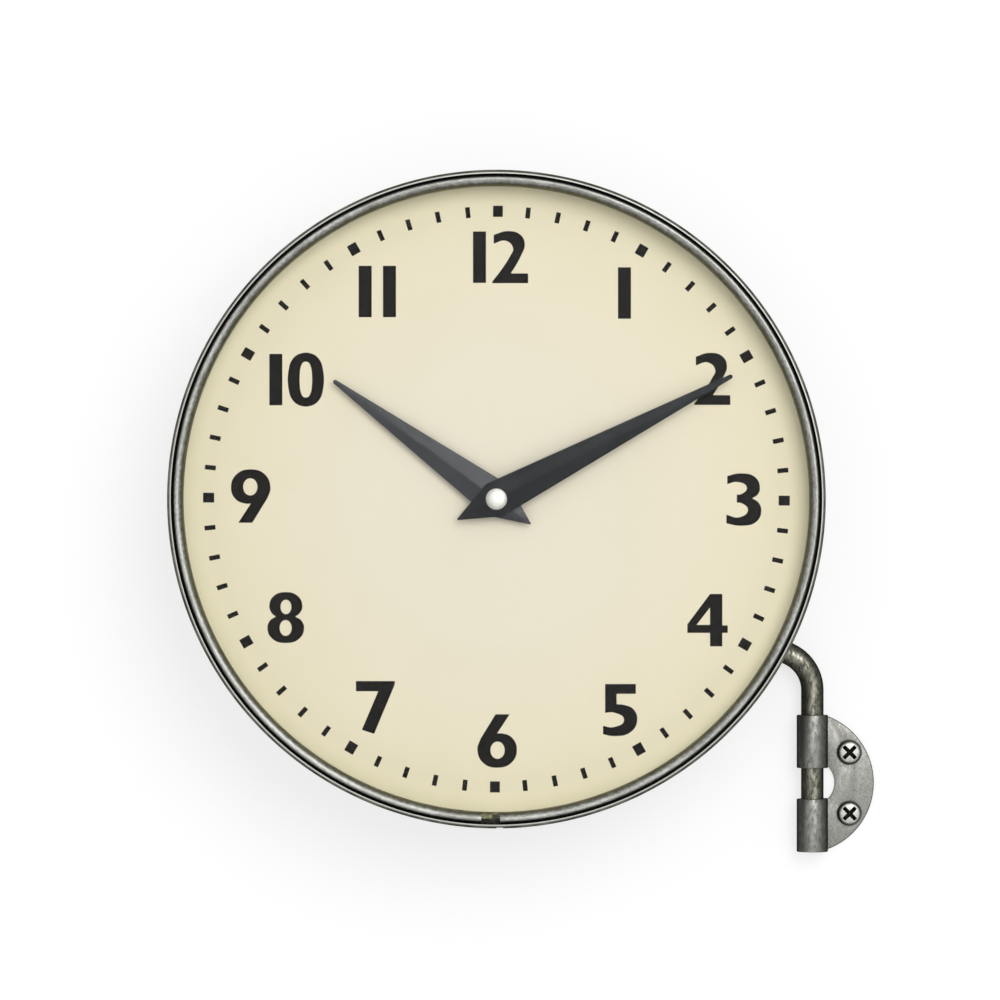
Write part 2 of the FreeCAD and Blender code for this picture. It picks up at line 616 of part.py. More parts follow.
def setting_knob():
    """Fluted knob behind the cover, with the gear that turns the motion wheel by hand."""
    first = meshing_tooth(motion_wheel_teeth, motion_wheel_tooth(), SETTING_DIRECTION, SETTING_TEETH)
    wheel = gear_blank(SETTING_TEETH, MODULE, first, z_minute_pinion, z_minute_pinion_top)
    z_knob_top = z_cover - KNOB_GAP
    z_knob = z_knob_top - KNOB_HEIGHT
    knob = cylinder(KNOB_RADIUS, z_knob, z_knob_top)
    flutes = []
    for number in range(KNOB_FLUTES):
        middle = on_circle(KNOB_RADIUS, 360 * number / KNOB_FLUTES)
        flutes.append(cylinder(KNOB_FLUTE_RADIUS, z_knob, z_knob_top, middle.x, middle.y))
    knob = knob.cut(Part.makeCompound(flutes))
    shaft = cylinder(SETTING_SHAFT_RADIUS, z_knob_top, z_minute_pinion)
    pivot = cylinder(SETTING_PIVOT_RADIUS, z_minute_pinion_top, z_tray_inside - END_PLAY)
    solid = wheel.fuse([knob, shaft, pivot])
    solid.translate(vec(setting_x, setting_y))
    return solid


# ---------------------------------------------------------------- hands
def tip_tangent(half_width, reach):
    """Slope of a hand's edge from its widest corner to its rounded tip, and the edge's length."""
    run = reach - HAND_TIP_RADIUS
    span = math.hypot(half_width, run)
    slope = math.atan2(run, half_width) + math.asin(HAND_TIP_RADIUS / span)
    return slope, math.sqrt(span ** 2 - HAND_TIP_RADIUS ** 2)


def dauphine(length, tail, half_width, z_low):
    """A kite-shaped hand along +y with four facets that rise to a crest over its widest place."""
    outline, kite = [], []
    for way, reach in ((1, length + HAND_WIDEST_BACK), (-1, tail - HAND_WIDEST_BACK)):
        slope, edge = tip_tangent(half_width, reach)
        along, across = edge * math.sin(slope), half_width - edge * math.cos(slope)
        corner = vec(-half_width * way, -HAND_WIDEST_BACK)
        before = vec(-across * way, -HAND_WIDEST_BACK + along * way)
        after = vec(across * way, -HAND_WIDEST_BACK + along * way)
        tip = vec(0, -HAND_WIDEST_BACK + reach * way)
        opposite = vec(half_width * way, -HAND_WIDEST_BACK)
        outline += [line(corner, before), arc(before, tip, after), line(after, opposite)]
        kite += [corner, vec(0, -HAND_WIDEST_BACK + half_width * math.tan(slope) * way)]
    low = kite + kite[:1]
    high = [point + vec(0, 0, HAND_EDGE) for point in low]
    crest = vec(0, -HAND_WIDEST_BACK, HAND_CREST)
    faces = [Part.Face(Part.makePolygon(low))]
    for a, b, c, d in zip(low, low[1:], high[1:], high):
        faces.append(Part.Face(Part.makePolygon([a, b, c, d, a])))
        faces.append(Part.Face(Part.makePolygon([d, c, crest, d])))
    faceted = Part.Solid(Part.Shell(faces))
    hand = faceted.common(prism(outline, 0, HAND_CREST))
    hand.translate(vec(0, 0, z_low))
    return hand


def clockwise(shape, degrees):
    shape.rotate(vec(0, 0), Z_AXIS, -degrees)
    return shape


def hour_hand():
    hand = dauphine(HOUR_HAND_LENGTH, HOUR_HAND_TAIL, HOUR_HAND_HALF_WIDTH, z_hour_hand)
    hand = hand.cut(cylinder(HOUR_PIPE_RADIUS, z_hour_hand, z_hour_hand + HAND_CREST))
    return clockwise(hand, HOUR_HAND_ANGLE)


def minute_hand():
    hand = dauphine(MINUTE_HAND_LENGTH, MINUTE_HAND_TAIL, MINUTE_HAND_HALF_WIDTH, z_minute_hand)
    hand = hand.cut(cylinder(HAND_SEAT_RADIUS, z_cap, z_minute_hand + HAND_CREST))
    hand = hand.cut(cylinder(ARBOR_THREAD_RADIUS, z_minute_hand, z_minute_hand + HAND_CREST))
    return clockwise(hand, MINUTE_HAND_ANGLE)


def hand_cap():
    """Domed cap nut that holds the minute hand on its arbor."""
    rim, side, top = vec(CAP_RADIUS, 0, z_cap), vec(CAP_RADIUS, 0, z_cap + CAP_SIDE), vec(0, 0, z_cap_top)
    rise = CAP_HEIGHT - CAP_SIDE
    dome_radius = (CAP_RADIUS ** 2 + rise ** 2) / (2 * rise)
    half_way = CAP_RADIUS / 2
    drop = dome_radius - math.sqrt(dome_radius ** 2 - half_way ** 2)
    bore_top = vec(0, 0, z_arbor_end)
    bore_edge = vec(ARBOR_THREAD_RADIUS, 0, z_arbor_end)
    bore_low = vec(ARBOR_THREAD_RADIUS, 0, z_cap)
    return turned([line(bore_low, rim), line(rim, side), arc(side, vec(half_way, 0, top.z - drop), top),
                   line(top, bore_top), line(bore_top, bore_edge), line(bore_edge, bore_low)])


# ---------------------------------------------------------------- swing arm
def swing_arm():
    """Round steel arm: hinge pin, one bend, and a short straight end coped to the drum's wall."""
    foot = plug_top + PLUG_GAP
    pin = Part.makeCylinder(ARM_RADIUS, ARM_BEND_HEIGHT - foot, vec(pin_x, pin_y, foot))
    lowest = min(pin.Edges, key=lambda e: e.CenterOfMass.z)
    pin = pin.makeChamfer(ARM_END_CHAMFER, [lowest])
    bend_centre = vec(pin_x - ARM_BEND_RADIUS, pin_y, ARM_BEND_HEIGHT)
    section = Part.Face(Part.Wire(Part.makeCircle(ARM_RADIUS, vec(pin_x, pin_y, ARM_BEND_HEIGHT), Z_AXIS)))
    bend = section.revolve(bend_centre, -Y_AXIS, ARM_BEND_ANGLE)
    into_lip = LIP_STEP + CASE_SHEET
    stub = Part.makeCylinder(ARM_RADIUS, ARM_STUB + into_lip, vec(bend_end_x, pin_y, bend_end_z),
                             vec(-bend_sine, 0, bend_cosine))
    envelope = drum_envelope()
    envelope.Placement = face_placement("front")
    return pin.fuse([bend, stub]).removeSplitter().cut(envelope)


# ---------------------------------------------------------------- wall bracket
def screw_heights():
    return [-SCREW_SPACING / 2, SCREW_SPACING / 2]


def knuckle_ends():
    """The low and high end of each knuckle."""
    outer, inner = KNUCKLE_SPAN / 2, KNUCKLE_SPACE / 2
    return [(-outer, -inner), (inner, outer)]


def wall_bracket():
    """Half-moon leaf whose inner edge is rolled into two knuckles around the arm."""
    leaf = Part.makeCylinder(LEAF_RADIUS, LEAF_SHEET, vec(pin_x - LEAF_CENTRE_BACK, 0, 0), -Y_AXIS)
    half = KNUCKLE_SPAN / 2
    leaf = leaf.common(block(pin_x, pin_x + LEAF_RADIUS, -LEAF_SHEET, 0, -half, half))
    relief = Part.makeCylinder(LEAF_RELIEF_RADIUS, LEAF_SHEET, vec(pin_x, 0, 0), -Y_AXIS)
    space = KNUCKLE_SPACE / 2
    clear = block(pin_x, pin_x + LEAF_RELIEF_RADIUS, -LEAF_SHEET, 0, -space, space)
    leaf = leaf.cut(relief.common(clear))
    for height in screw_heights():
        hole = Part.makeCylinder(SCREW_NECK_RADIUS + SCREW_HOLE_FIT, LEAF_SHEET, vec(0, 0, height), -Y_AXIS)
        leaf = leaf.cut(hole)
    knuckles = [cylinder(knuckle_outer, low, high, pin_x, pin_y) for low, high in knuckle_ends()]
    bracket = leaf.fuse(knuckles)
    for low, high in knuckle_ends():
        bore = cylinder(knuckle_inner, low, high, pin_x, pin_y)
        slit = block(pin_x, pin_x + knuckle_outer, -LEAF_SHEET - ROLL_SLIT, -LEAF_SHEET, low, high)
        bracket = bracket.cut(bore.fuse(slit))
    return bracket.removeSplitter()


def knuckle_plug():
    """Disc that closes the lower knuckle and carries the arm's foot."""
    return cylinder(knuckle_inner, -KNUCKLE_SPAN / 2, plug_top, pin_x, pin_y)


def wall_screw(height):
    """Pan-head screw with a cross recess, its head on the leaf and its point in the wall."""
    rise = SCREW_HEAD_HEIGHT - SCREW_HEAD_EDGE
    dome_radius = (SCREW_HEAD_RADIUS ** 2 + rise ** 2) / (2 * rise)
    half_way = SCREW_HEAD_RADIUS / 2
    drop = dome_radius - math.sqrt(dome_radius ** 2 - half_way ** 2)
    top = vec(0, 0, SCREW_HEAD_HEIGHT)
    side = vec(SCREW_HEAD_RADIUS, 0, SCREW_HEAD_EDGE)
    rim = vec(SCREW_HEAD_RADIUS, 0, 0)
    neck = [vec(SCREW_NECK_RADIUS, 0, 0), vec(SCREW_NECK_RADIUS, 0, -LEAF_SHEET)]
    thread = vec(SCREW_RADIUS, 0, -LEAF_SHEET)
    end = -LEAF_SHEET - SCREW_LENGTH
    taper = vec(SCREW_RADIUS, 0, end + SCREW_POINT)
    point = vec(0, 0, end)
    screw = turned([line(point, taper), line(taper, thread), line(thread, neck[1]), line(neck[1], neck[0]),
                    line(neck[0], rim), line(rim, side),
                    arc(side, vec(half_way, 0, SCREW_HEAD_HEIGHT - drop), top), line(top, point)])
    long, wide = CROSS_LENGTH / 2, CROSS_WIDTH / 2
    floor = SCREW_HEAD_HEIGHT - CROSS_DEPTH
    cross = block(-long, long, -wide, wide, floor, SCREW_HEAD_HEIGHT).fuse(
        block(-wide, wide, -long, long, floor, SCREW_HEAD_HEIGHT))
    cross.rotate(vec(0, 0), Z_AXIS, 45)
    screw = screw.cut(cross)
    screw.rotate(vec(0, 0), X_AXIS, 90)
    screw.translate(vec(0, -LEAF_SHEET, height))
    return screw


def wall_screws():
    return Part.makeCompound([wall_screw(height) for height in screw_heights()])


# ---------------------------------------------------------------- placing and writing
def face_placement(side):
    """From a face's own frame to the clock's: the front looks along -Y, the rear along +Y."""
    upright = FreeCAD.Rotation(X_AXIS, 90)
    if side == "rear":
        upright = FreeCAD.Rotation(Z_AXIS, 180).multiply(upright)
    return FreeCAD.Placement(vec(clock_x, clock_y, clock_z), upright)


def place_on_face(shape, side):
    shape.Placement = face_placement(side).multiply(shape.Placement)
    return shape


FACE_PIECES = {
    "ledge_ring": ledge_ring,
    "dial": dial,
    "seat_ring": seat_ring,
    "glass": glass,
    "bezel_ring": bezel_ring,
    "movement_tray": movement_tray,
    "movement_cover": movement_cover,
    "circuit_board": circuit_board,
    "drive_unit": drive_unit,
    "stator": stator,
    "coil": coil,
    "battery": battery,
    "battery_contacts": battery_contacts,
    "rubber_washer": rubber_washer,
    "dial_washer": dial_washer,
    "dial_nut": dial_nut,
    "minute_arbor": minute_arbor,
    "motion_wheel": motion_wheel,
    "hour_wheel": hour_wheel,
    "setting_knob": setting_knob,
    "hour_hand": hour_hand,
    "minute_hand": minute_hand,
    "hand_cap": hand_cap,
}


def all_pieces():
    """Every named piece of the clock, in its place."""
    pieces = {
        "case_band": place_on_face(case_band(), "front"),
        "swing_arm": swing_arm(),
        "wall_bracket": wall_bracket(),
        "knuckle_plug": knuckle_plug(),
        "wall_screws": wall_screws(),
    }
    for side in ("front", "rear"):
        for name, build in FACE_PIECES.items():
            pieces[f"{side}_{name}"] = place_on_face(build(), side)
    return pieces


def main():
    os.makedirs("parts", exist_ok=True)
    for name, shape in all_pieces().items():
        if not shape.isValid() or not shape.Solids:
            raise ValueError(f"{name} isn't a valid solid")
        shape.exportStep(f"parts/{name}.step")
        print(f"{name}: {len(shape.Solids)} solid, {shape.Volume:.0f} cubic mm")


if __name__ == "__main__":
    main()
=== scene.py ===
"""A double sided station clock on its swing arm, finished and lit for the camera.

Metres, +Z up, the wall at y = 0 and the front dial looking along -Y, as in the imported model. Whatever
belongs to a face is modelled in that face's own frame, x to its viewer's right, y up and z out of the
drum, and is then put in place on the front or the rear.
"""
import enum
import logging
import math
from contextlib import contextmanager
from dataclasses import dataclass, field
from typing import Callable, Iterator, Sequence

import bmesh
import bpy
from mathutils import Matrix, Vector


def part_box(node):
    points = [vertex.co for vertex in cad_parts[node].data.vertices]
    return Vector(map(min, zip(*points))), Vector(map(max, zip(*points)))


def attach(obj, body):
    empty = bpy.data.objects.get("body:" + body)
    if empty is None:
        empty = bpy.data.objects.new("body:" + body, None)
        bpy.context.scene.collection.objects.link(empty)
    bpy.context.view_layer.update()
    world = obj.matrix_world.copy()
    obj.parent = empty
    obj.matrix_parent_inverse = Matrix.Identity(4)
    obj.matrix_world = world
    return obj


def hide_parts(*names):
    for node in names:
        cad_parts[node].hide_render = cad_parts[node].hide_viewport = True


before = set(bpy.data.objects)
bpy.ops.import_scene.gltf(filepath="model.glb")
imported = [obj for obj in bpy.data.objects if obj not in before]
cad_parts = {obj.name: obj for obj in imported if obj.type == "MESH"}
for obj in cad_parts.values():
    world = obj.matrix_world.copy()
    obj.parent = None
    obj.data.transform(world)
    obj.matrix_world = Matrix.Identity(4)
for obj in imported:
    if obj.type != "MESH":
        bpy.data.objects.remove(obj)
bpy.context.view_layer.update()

log = logging.getLogger("station_clock")

MM = 0.001
WELD = 0.002 * MM               # vertices closer than this are one
RING_STEPS = 256                # sections round the drum and its rings
ROD_STEPS = 64                  # sections round the arm, the knuckles and the screws
ROUND_STEPS = 4                 # sections round a small rounded edge
SMOOTH_UNDER = math.radians(30)
FACET_UNDER = math.radians(6)   # the hands' facets stay crisp
GAP_SHADE = "12110e"                # painted shade in the gaps between the drum's parts and inside its wall and lips

Point = tuple[float, float]
Corner = tuple[float, float, float]
Numbers = tuple[float, float, float]


# ---------------------------------------------------------------- places taken from the frame
def middle_of(node: str) -> Vector:
    """The middle of a CAD node's box."""
    low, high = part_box(node)
    return (low + high) / 2


CENTRE = middle_of("case_band")


def heights(piece: str) -> Point:
    """How far out of the drum's middle a piece of the front face begins and ends."""
    low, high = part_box(f"front_{piece}")
    return CENTRE.y - high.y, CENTRE.y - low.y


def radius_of(node: str) -> float:
    """The outer radius of a round CAD node that lies in the plane of the dial."""
    low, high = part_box(node)
    return (high.x - low.x) / 2


class Side(enum.Enum):
    """The two faces of the clock."""

    FRONT = "front"
    REAR = "rear"

    def node(self, piece: str) -> str:
        """The CAD node or body of that name on this face."""
        return f"{self.value}_{piece}"

    @property
    def placement(self) -> Matrix:
        """From this face's own frame to the clock's.

        Returns:
            The matrix that puts a piece of this face in place.
        """
        upright = Matrix.Rotation(math.radians(90), 4, "X")
        if self is Side.REAR:
            upright = Matrix.Rotation(math.radians(180), 4, "Z") @ upright
        return Matrix.Translation(CENTRE) @ upright


# ---------------------------------------------------------------- the bench: shaping a mesh by hand
class Element(enum.Enum):
    """What an edit-mode selection picks."""

    VERTEX = "VERT"
    EDGE = "EDGE"
    FACE = "FACE"


@contextmanager
def editing(piece: bpy.types.Object) -> Iterator[None]:
    """Edit mode on one piece, with vertices to be picked, left again at the end.

    Args:
        piece: The piece to edit.

    Yields:
        Nothing, while the piece is in edit mode.
    """
    bpy.context.view_layer.objects.active = piece
    bpy.ops.object.mode_set(mode="EDIT")
    bpy.ops.mesh.select_mode(type=Element.VERTEX.value)
    yield
    bpy.ops.object.mode_set(mode="OBJECT")


def select_only(*pieces: bpy.types.Object) -> None:
    """Select these pieces and nothing else, the first one active.

    Args:
        pieces: The pieces to select, none to deselect all.
    """
    bpy.ops.object.select_all(action="DESELECT")
    for piece in pieces:
        piece.select_set(True)
    if pieces:
        bpy.context.view_layer.objects.active = pieces[0]


def named(name: str) -> bpy.types.Object:
    """Name the primitive that was just added and move its place into its mesh.

    Args:
        name: The piece's name.

    Returns:
        The active object.
    """
    piece = bpy.context.active_object
    piece.name = piece.data.name = name
    bpy.ops.object.transform_apply(location=True, rotation=True, scale=True)
    return piece


def middle_of_element(element: bmesh.types.BMVert | bmesh.types.BMEdge | bmesh.types.BMFace) -> Vector:
    """Where a vertex is, or the middle of an edge or a face.

    Args:
        element: A vertex, an edge or a face in edit mode.

    Returns:
        Its middle.
    """
    if isinstance(element, bmesh.types.BMVert):
        return element.co
    return sum((vertex.co for vertex in element.verts), Vector()) / len(element.verts)


def pick(piece: bpy.types.Object, chosen: Callable[[Vector], bool], what: Element = Element.VERTEX) -> None:
    """Select, in edit mode, the elements whose middle passes a test.

    Args:
        piece: The piece in edit mode.
        chosen: The test of an element's middle.
        what: Whether vertices, edges or faces are picked.
    """
    bpy.ops.mesh.select_mode(type=what.value)
    bpy.ops.mesh.select_all(action="DESELECT")
    mesh = bmesh.from_edit_mesh(piece.data)
    elements = {Element.VERTEX: mesh.verts, Element.EDGE: mesh.edges, Element.FACE: mesh.faces}[what]
    for element in elements:
        element.select_set(chosen(middle_of_element(element)))
    mesh.select_flush_mode()
    bmesh.update_edit_mesh(piece.data)


def clean_up() -> None:
    """Weld what lies together and turn all faces outwards, in edit mode."""
    bpy.ops.mesh.select_all(action="SELECT")
    bpy.ops.mesh.remove_doubles(threshold=WELD)
    bpy.ops.mesh.normals_make_consistent(inside=False)


def rounded(corners: Sequence[Corner], steps: int = ROUND_STEPS) -> list[Point]:
    """Points along a closed outline whose corners are rounded.

    Args:
        corners: Each corner's two coordinates and the radius that rounds it, 0 for a sharp one.
        steps: Straight pieces in each rounded corner.

    Returns:
        The outline's points, in order.
    """
    points: list[Point] = []
    ring = list(corners)
    for before, corner, after in zip(ring[-1:] + ring[:-1], ring, ring[1:] + ring[:1]):
        place, radius = Vector(corner[:2]), corner[2]
        if not radius:
            points.append(tuple(place))
            continue
        back = (Vector(before[:2]) - place).normalized()
        onward = (Vector(after[:2]) - place).normalized()
        half = back.angle(onward) / 2
        centre = place + (back + onward).normalized() * radius / math.sin(half)
        first = place + back * radius / math.tan(half) - centre
        last = place + onward * radius / math.tan(half) - centre
        turn = math.atan2(first.cross(last), first.dot(last))
        for step in range(steps + 1):
            points.append(tuple(centre + Matrix.Rotation(turn * step / steps, 2) @ first))
    return points


def arc(centre: Point, radii: Point, start: float, end: float, steps: int) -> list[Point]:
    """Points along a stretch of an ellipse, both ends included, with its angles in degrees."""
    angles = [math.radians(start + (end - start) * step / steps) for step in range(steps + 1)]
    return [(centre[0] + radii[0] * math.cos(a), centre[1] + radii[1] * math.sin(a)) for a in angles]


def drawn(name: str, corners: Sequence[Vector], closed: bool = True) -> bpy.types.Object:
    """A chain of edges, extruded from one vertex to the next.

    Args:
        name: The piece's name.
        corners: Where the chain's vertices are.
        closed: Whether the last vertex is joined to the first.

    Returns:
        The new piece.
    """
    select_only()
    bpy.ops.mesh.primitive_plane_add(size=MM, location=corners[0])
    piece = named(name)
    with editing(piece):
        bpy.ops.mesh.select_all(action="SELECT")
        bpy.ops.mesh.merge(type="CENTER")
        for before, after in zip(corners, corners[1:]):
            bpy.ops.mesh.extrude_vertices_move(TRANSFORM_OT_translate={"value": after - before})
        if closed:
            ends = (corners[0], corners[-1])
            pick(piece, lambda place: min((place - end).length for end in ends) < WELD)
            bpy.ops.mesh.edge_face_add()
    return piece


def turned(name: str, profile: Sequence[Point], steps: int = RING_STEPS, closed: bool = True,
           start: float = 0.0, sweep: float = 360.0) -> bpy.types.Object:
    """Spin a profile about the z axis.

    Args:
        name: The piece's name.
        profile: The profile's points, each a radius and a height.
        steps: Sections of the whole sweep.
        closed: False where the profile's two ends lie on the axis.
        start: Direction of the first section, in degrees.
        sweep: How far the profile is turned, in degrees. Less than a full turn leaves two flat ends.

    Returns:
        The new piece.
    """
    outwards = Vector((math.cos(math.radians(start)), math.sin(math.radians(start)), 0))
    corners = [outwards * radius + Vector((0, 0, height)) for radius, height in profile]
    piece = drawn(name, corners, closed)
    with editing(piece):
        bpy.ops.mesh.select_all(action="SELECT")
        if sweep < 360:
            bpy.ops.mesh.edge_face_add()
        bpy.ops.mesh.spin(steps=steps, angle=math.radians(sweep), center=(0, 0, 0), axis=(0, 0, -1))
        clean_up()
    return piece


def bar(name: str, centre: Numbers, size: Numbers, far_end: float = 1.0) -> bpy.types.Object:
    """A bar with square ends, tapered towards its low z end where far_end is under 1.

    Args:
        name: The piece's name.
        centre: Its middle.
        size: Its length along x, y and z.
        far_end: The low end's size as a share of the high end's.

    Returns:
        The new piece.
    """
    select_only()
    bpy.ops.mesh.primitive_cube_add(size=1, location=centre, scale=size)
    piece = named(name)
    if far_end < 1:
        with editing(piece):
            pick(piece, lambda place: place.z < centre[2])
            bpy.ops.transform.resize(value=(far_end, far_end, 1), center_override=centre)
    return piece


def rod(name: str, radius: float, low: float, high: float, steps: int = ROD_STEPS,
        at: Point = (0.0, 0.0)) -> bpy.types.Object:
    """A plain round rod along z, which cuts a hole in another piece.

    Args:
        name: The piece's name.
        radius: Its radius.
        low: Where it begins along z.
        high: Where it ends.
        steps: Sections round it.
        at: Where its axis is in x and y.

    Returns:
        The new piece.
    """
    select_only()
    bpy.ops.mesh.primitive_cylinder_add(vertices=steps, radius=radius, depth=high - low,
                                        location=(*at, (low + high) / 2))
    return named(name)


def finished(piece: bpy.types.Object, kind: str, **settings: object) -> bpy.types.Object:
    """Add one modifier to a piece and apply it.

    Args:
        piece: The piece.
        kind: The modifier's type.
        settings: The modifier's own properties.

    Returns:
        The same piece.
    """
    select_only(piece)
    modifier = piece.modifiers.new(kind.lower(), kind)
    for key, value in settings.items():
        setattr(modifier, key, value)
    bpy.ops.object.modifier_apply(modifier=modifier.name)
    return piece


def combined(piece: bpy.types.Object, other: bpy.types.Object, operation: str) -> bpy.types.Object:
    """Join, cut or common of a piece with another, which is used up.

    Args:
        piece: The piece that stays.
        other: The piece that is used up.
        operation: UNION, DIFFERENCE or INTERSECT.

    Returns:
        The piece that stays.
    """
    finished(piece, "BOOLEAN", object=other, operation=operation, solver="EXACT")
    bpy.data.objects.remove(other, do_unlink=True)
    return piece


def cut(piece: bpy.types.Object, *cutters: bpy.types.Object) -> bpy.types.Object:
    """Cut away from a piece whatever the cutters fill.

    Args:
        piece: The piece to cut.
        cutters: What is cut away, each used up.

    Returns:
        The same piece.
    """
    for cutter in cutters:
        combined(piece, cutter, "DIFFERENCE")
    return piece


def softened(piece: bpy.types.Object, width: float, over: float = 40.0, steps: int = 2) -> bpy.types.Object:
    """Round a piece's sharp edges, those that turn by more than some degrees."""
    return finished(piece, "BEVEL", width=width, segments=steps, limit_method="ANGLE",
                    angle_limit=math.radians(over), use_clamp_overlap=True)


def joined(name: str, pieces: Sequence[bpy.types.Object]) -> bpy.types.Object:
    """Several loose pieces as one object.

    Args:
        name: The name of the whole.
        pieces: The pieces to join.

    Returns:
        The one object.
    """
    select_only(*pieces)
    bpy.ops.object.join()
    piece = bpy.context.active_object
    piece.name = piece.data.name = name
    return piece


def copied(piece: bpy.types.Object, name: str, place: Matrix) -> bpy.types.Object:
    """A copy of a piece, with its own mesh, moved or turned from where the piece is.

    Args:
        piece: The pattern.
        name: The copy's name.
        place: The copy's place, measured from the pattern's.

    Returns:
        The copy.
    """
    twin = piece.copy()
    twin.data = piece.data.copy()
    twin.name = twin.data.name = name
    bpy.context.scene.collection.objects.link(twin)
    twin.data.transform(place)
    return twin


def smooth(piece: bpy.types.Object, under: float = SMOOTH_UNDER) -> bpy.types.Object:
    """Smooth shading across edges that turn by less than an angle.

    Args:
        piece: The piece.
        under: The greatest turn that is smoothed, in radians.

    Returns:
        The same piece.
    """
    select_only(piece)
    bpy.ops.object.shade_smooth_by_angle(angle=under)
    return piece


def hand_over(piece: bpy.types.Object, finish: bpy.types.Material, body: str, slot: str,
              *nodes: str) -> bpy.types.Object:
    """Give a finished piece its material and hang it on the body that it moves with.

    Args:
        piece: The piece, in place.
        finish: Its material.
        body: The body it rides on.
        slot: Not used.
        nodes: The CAD nodes that it stands for.

    Returns:
        The same piece.
    """
    piece.data.materials.clear()
    piece.data.materials.append(finish)
    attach(piece, body)
    if nodes:
        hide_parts(*nodes)
    log.info("%s: %d faces on %s", piece.name, len(piece.data.polygons), body)
    return piece


# ---------------------------------------------------------------- finishes
def colour(tone: str) -> tuple[float, float, float, float]:
    """A screen colour, written as six hexadecimal digits, as the light that it stands for.

    Args:
        tone: The screen colour.

    Returns:
        Red, green, blue and a full alpha.
    """
    shares = [int(tone[place:place + 2], 16) / 255 for place in (0, 2, 4)]
    linear = [s / 12.92 if s <= 0.04045 else ((s + 0.055) / 1.055) ** 2.4 for s in shares]
    return (*linear, 1.0)


Socket = bpy.types.NodeSocket


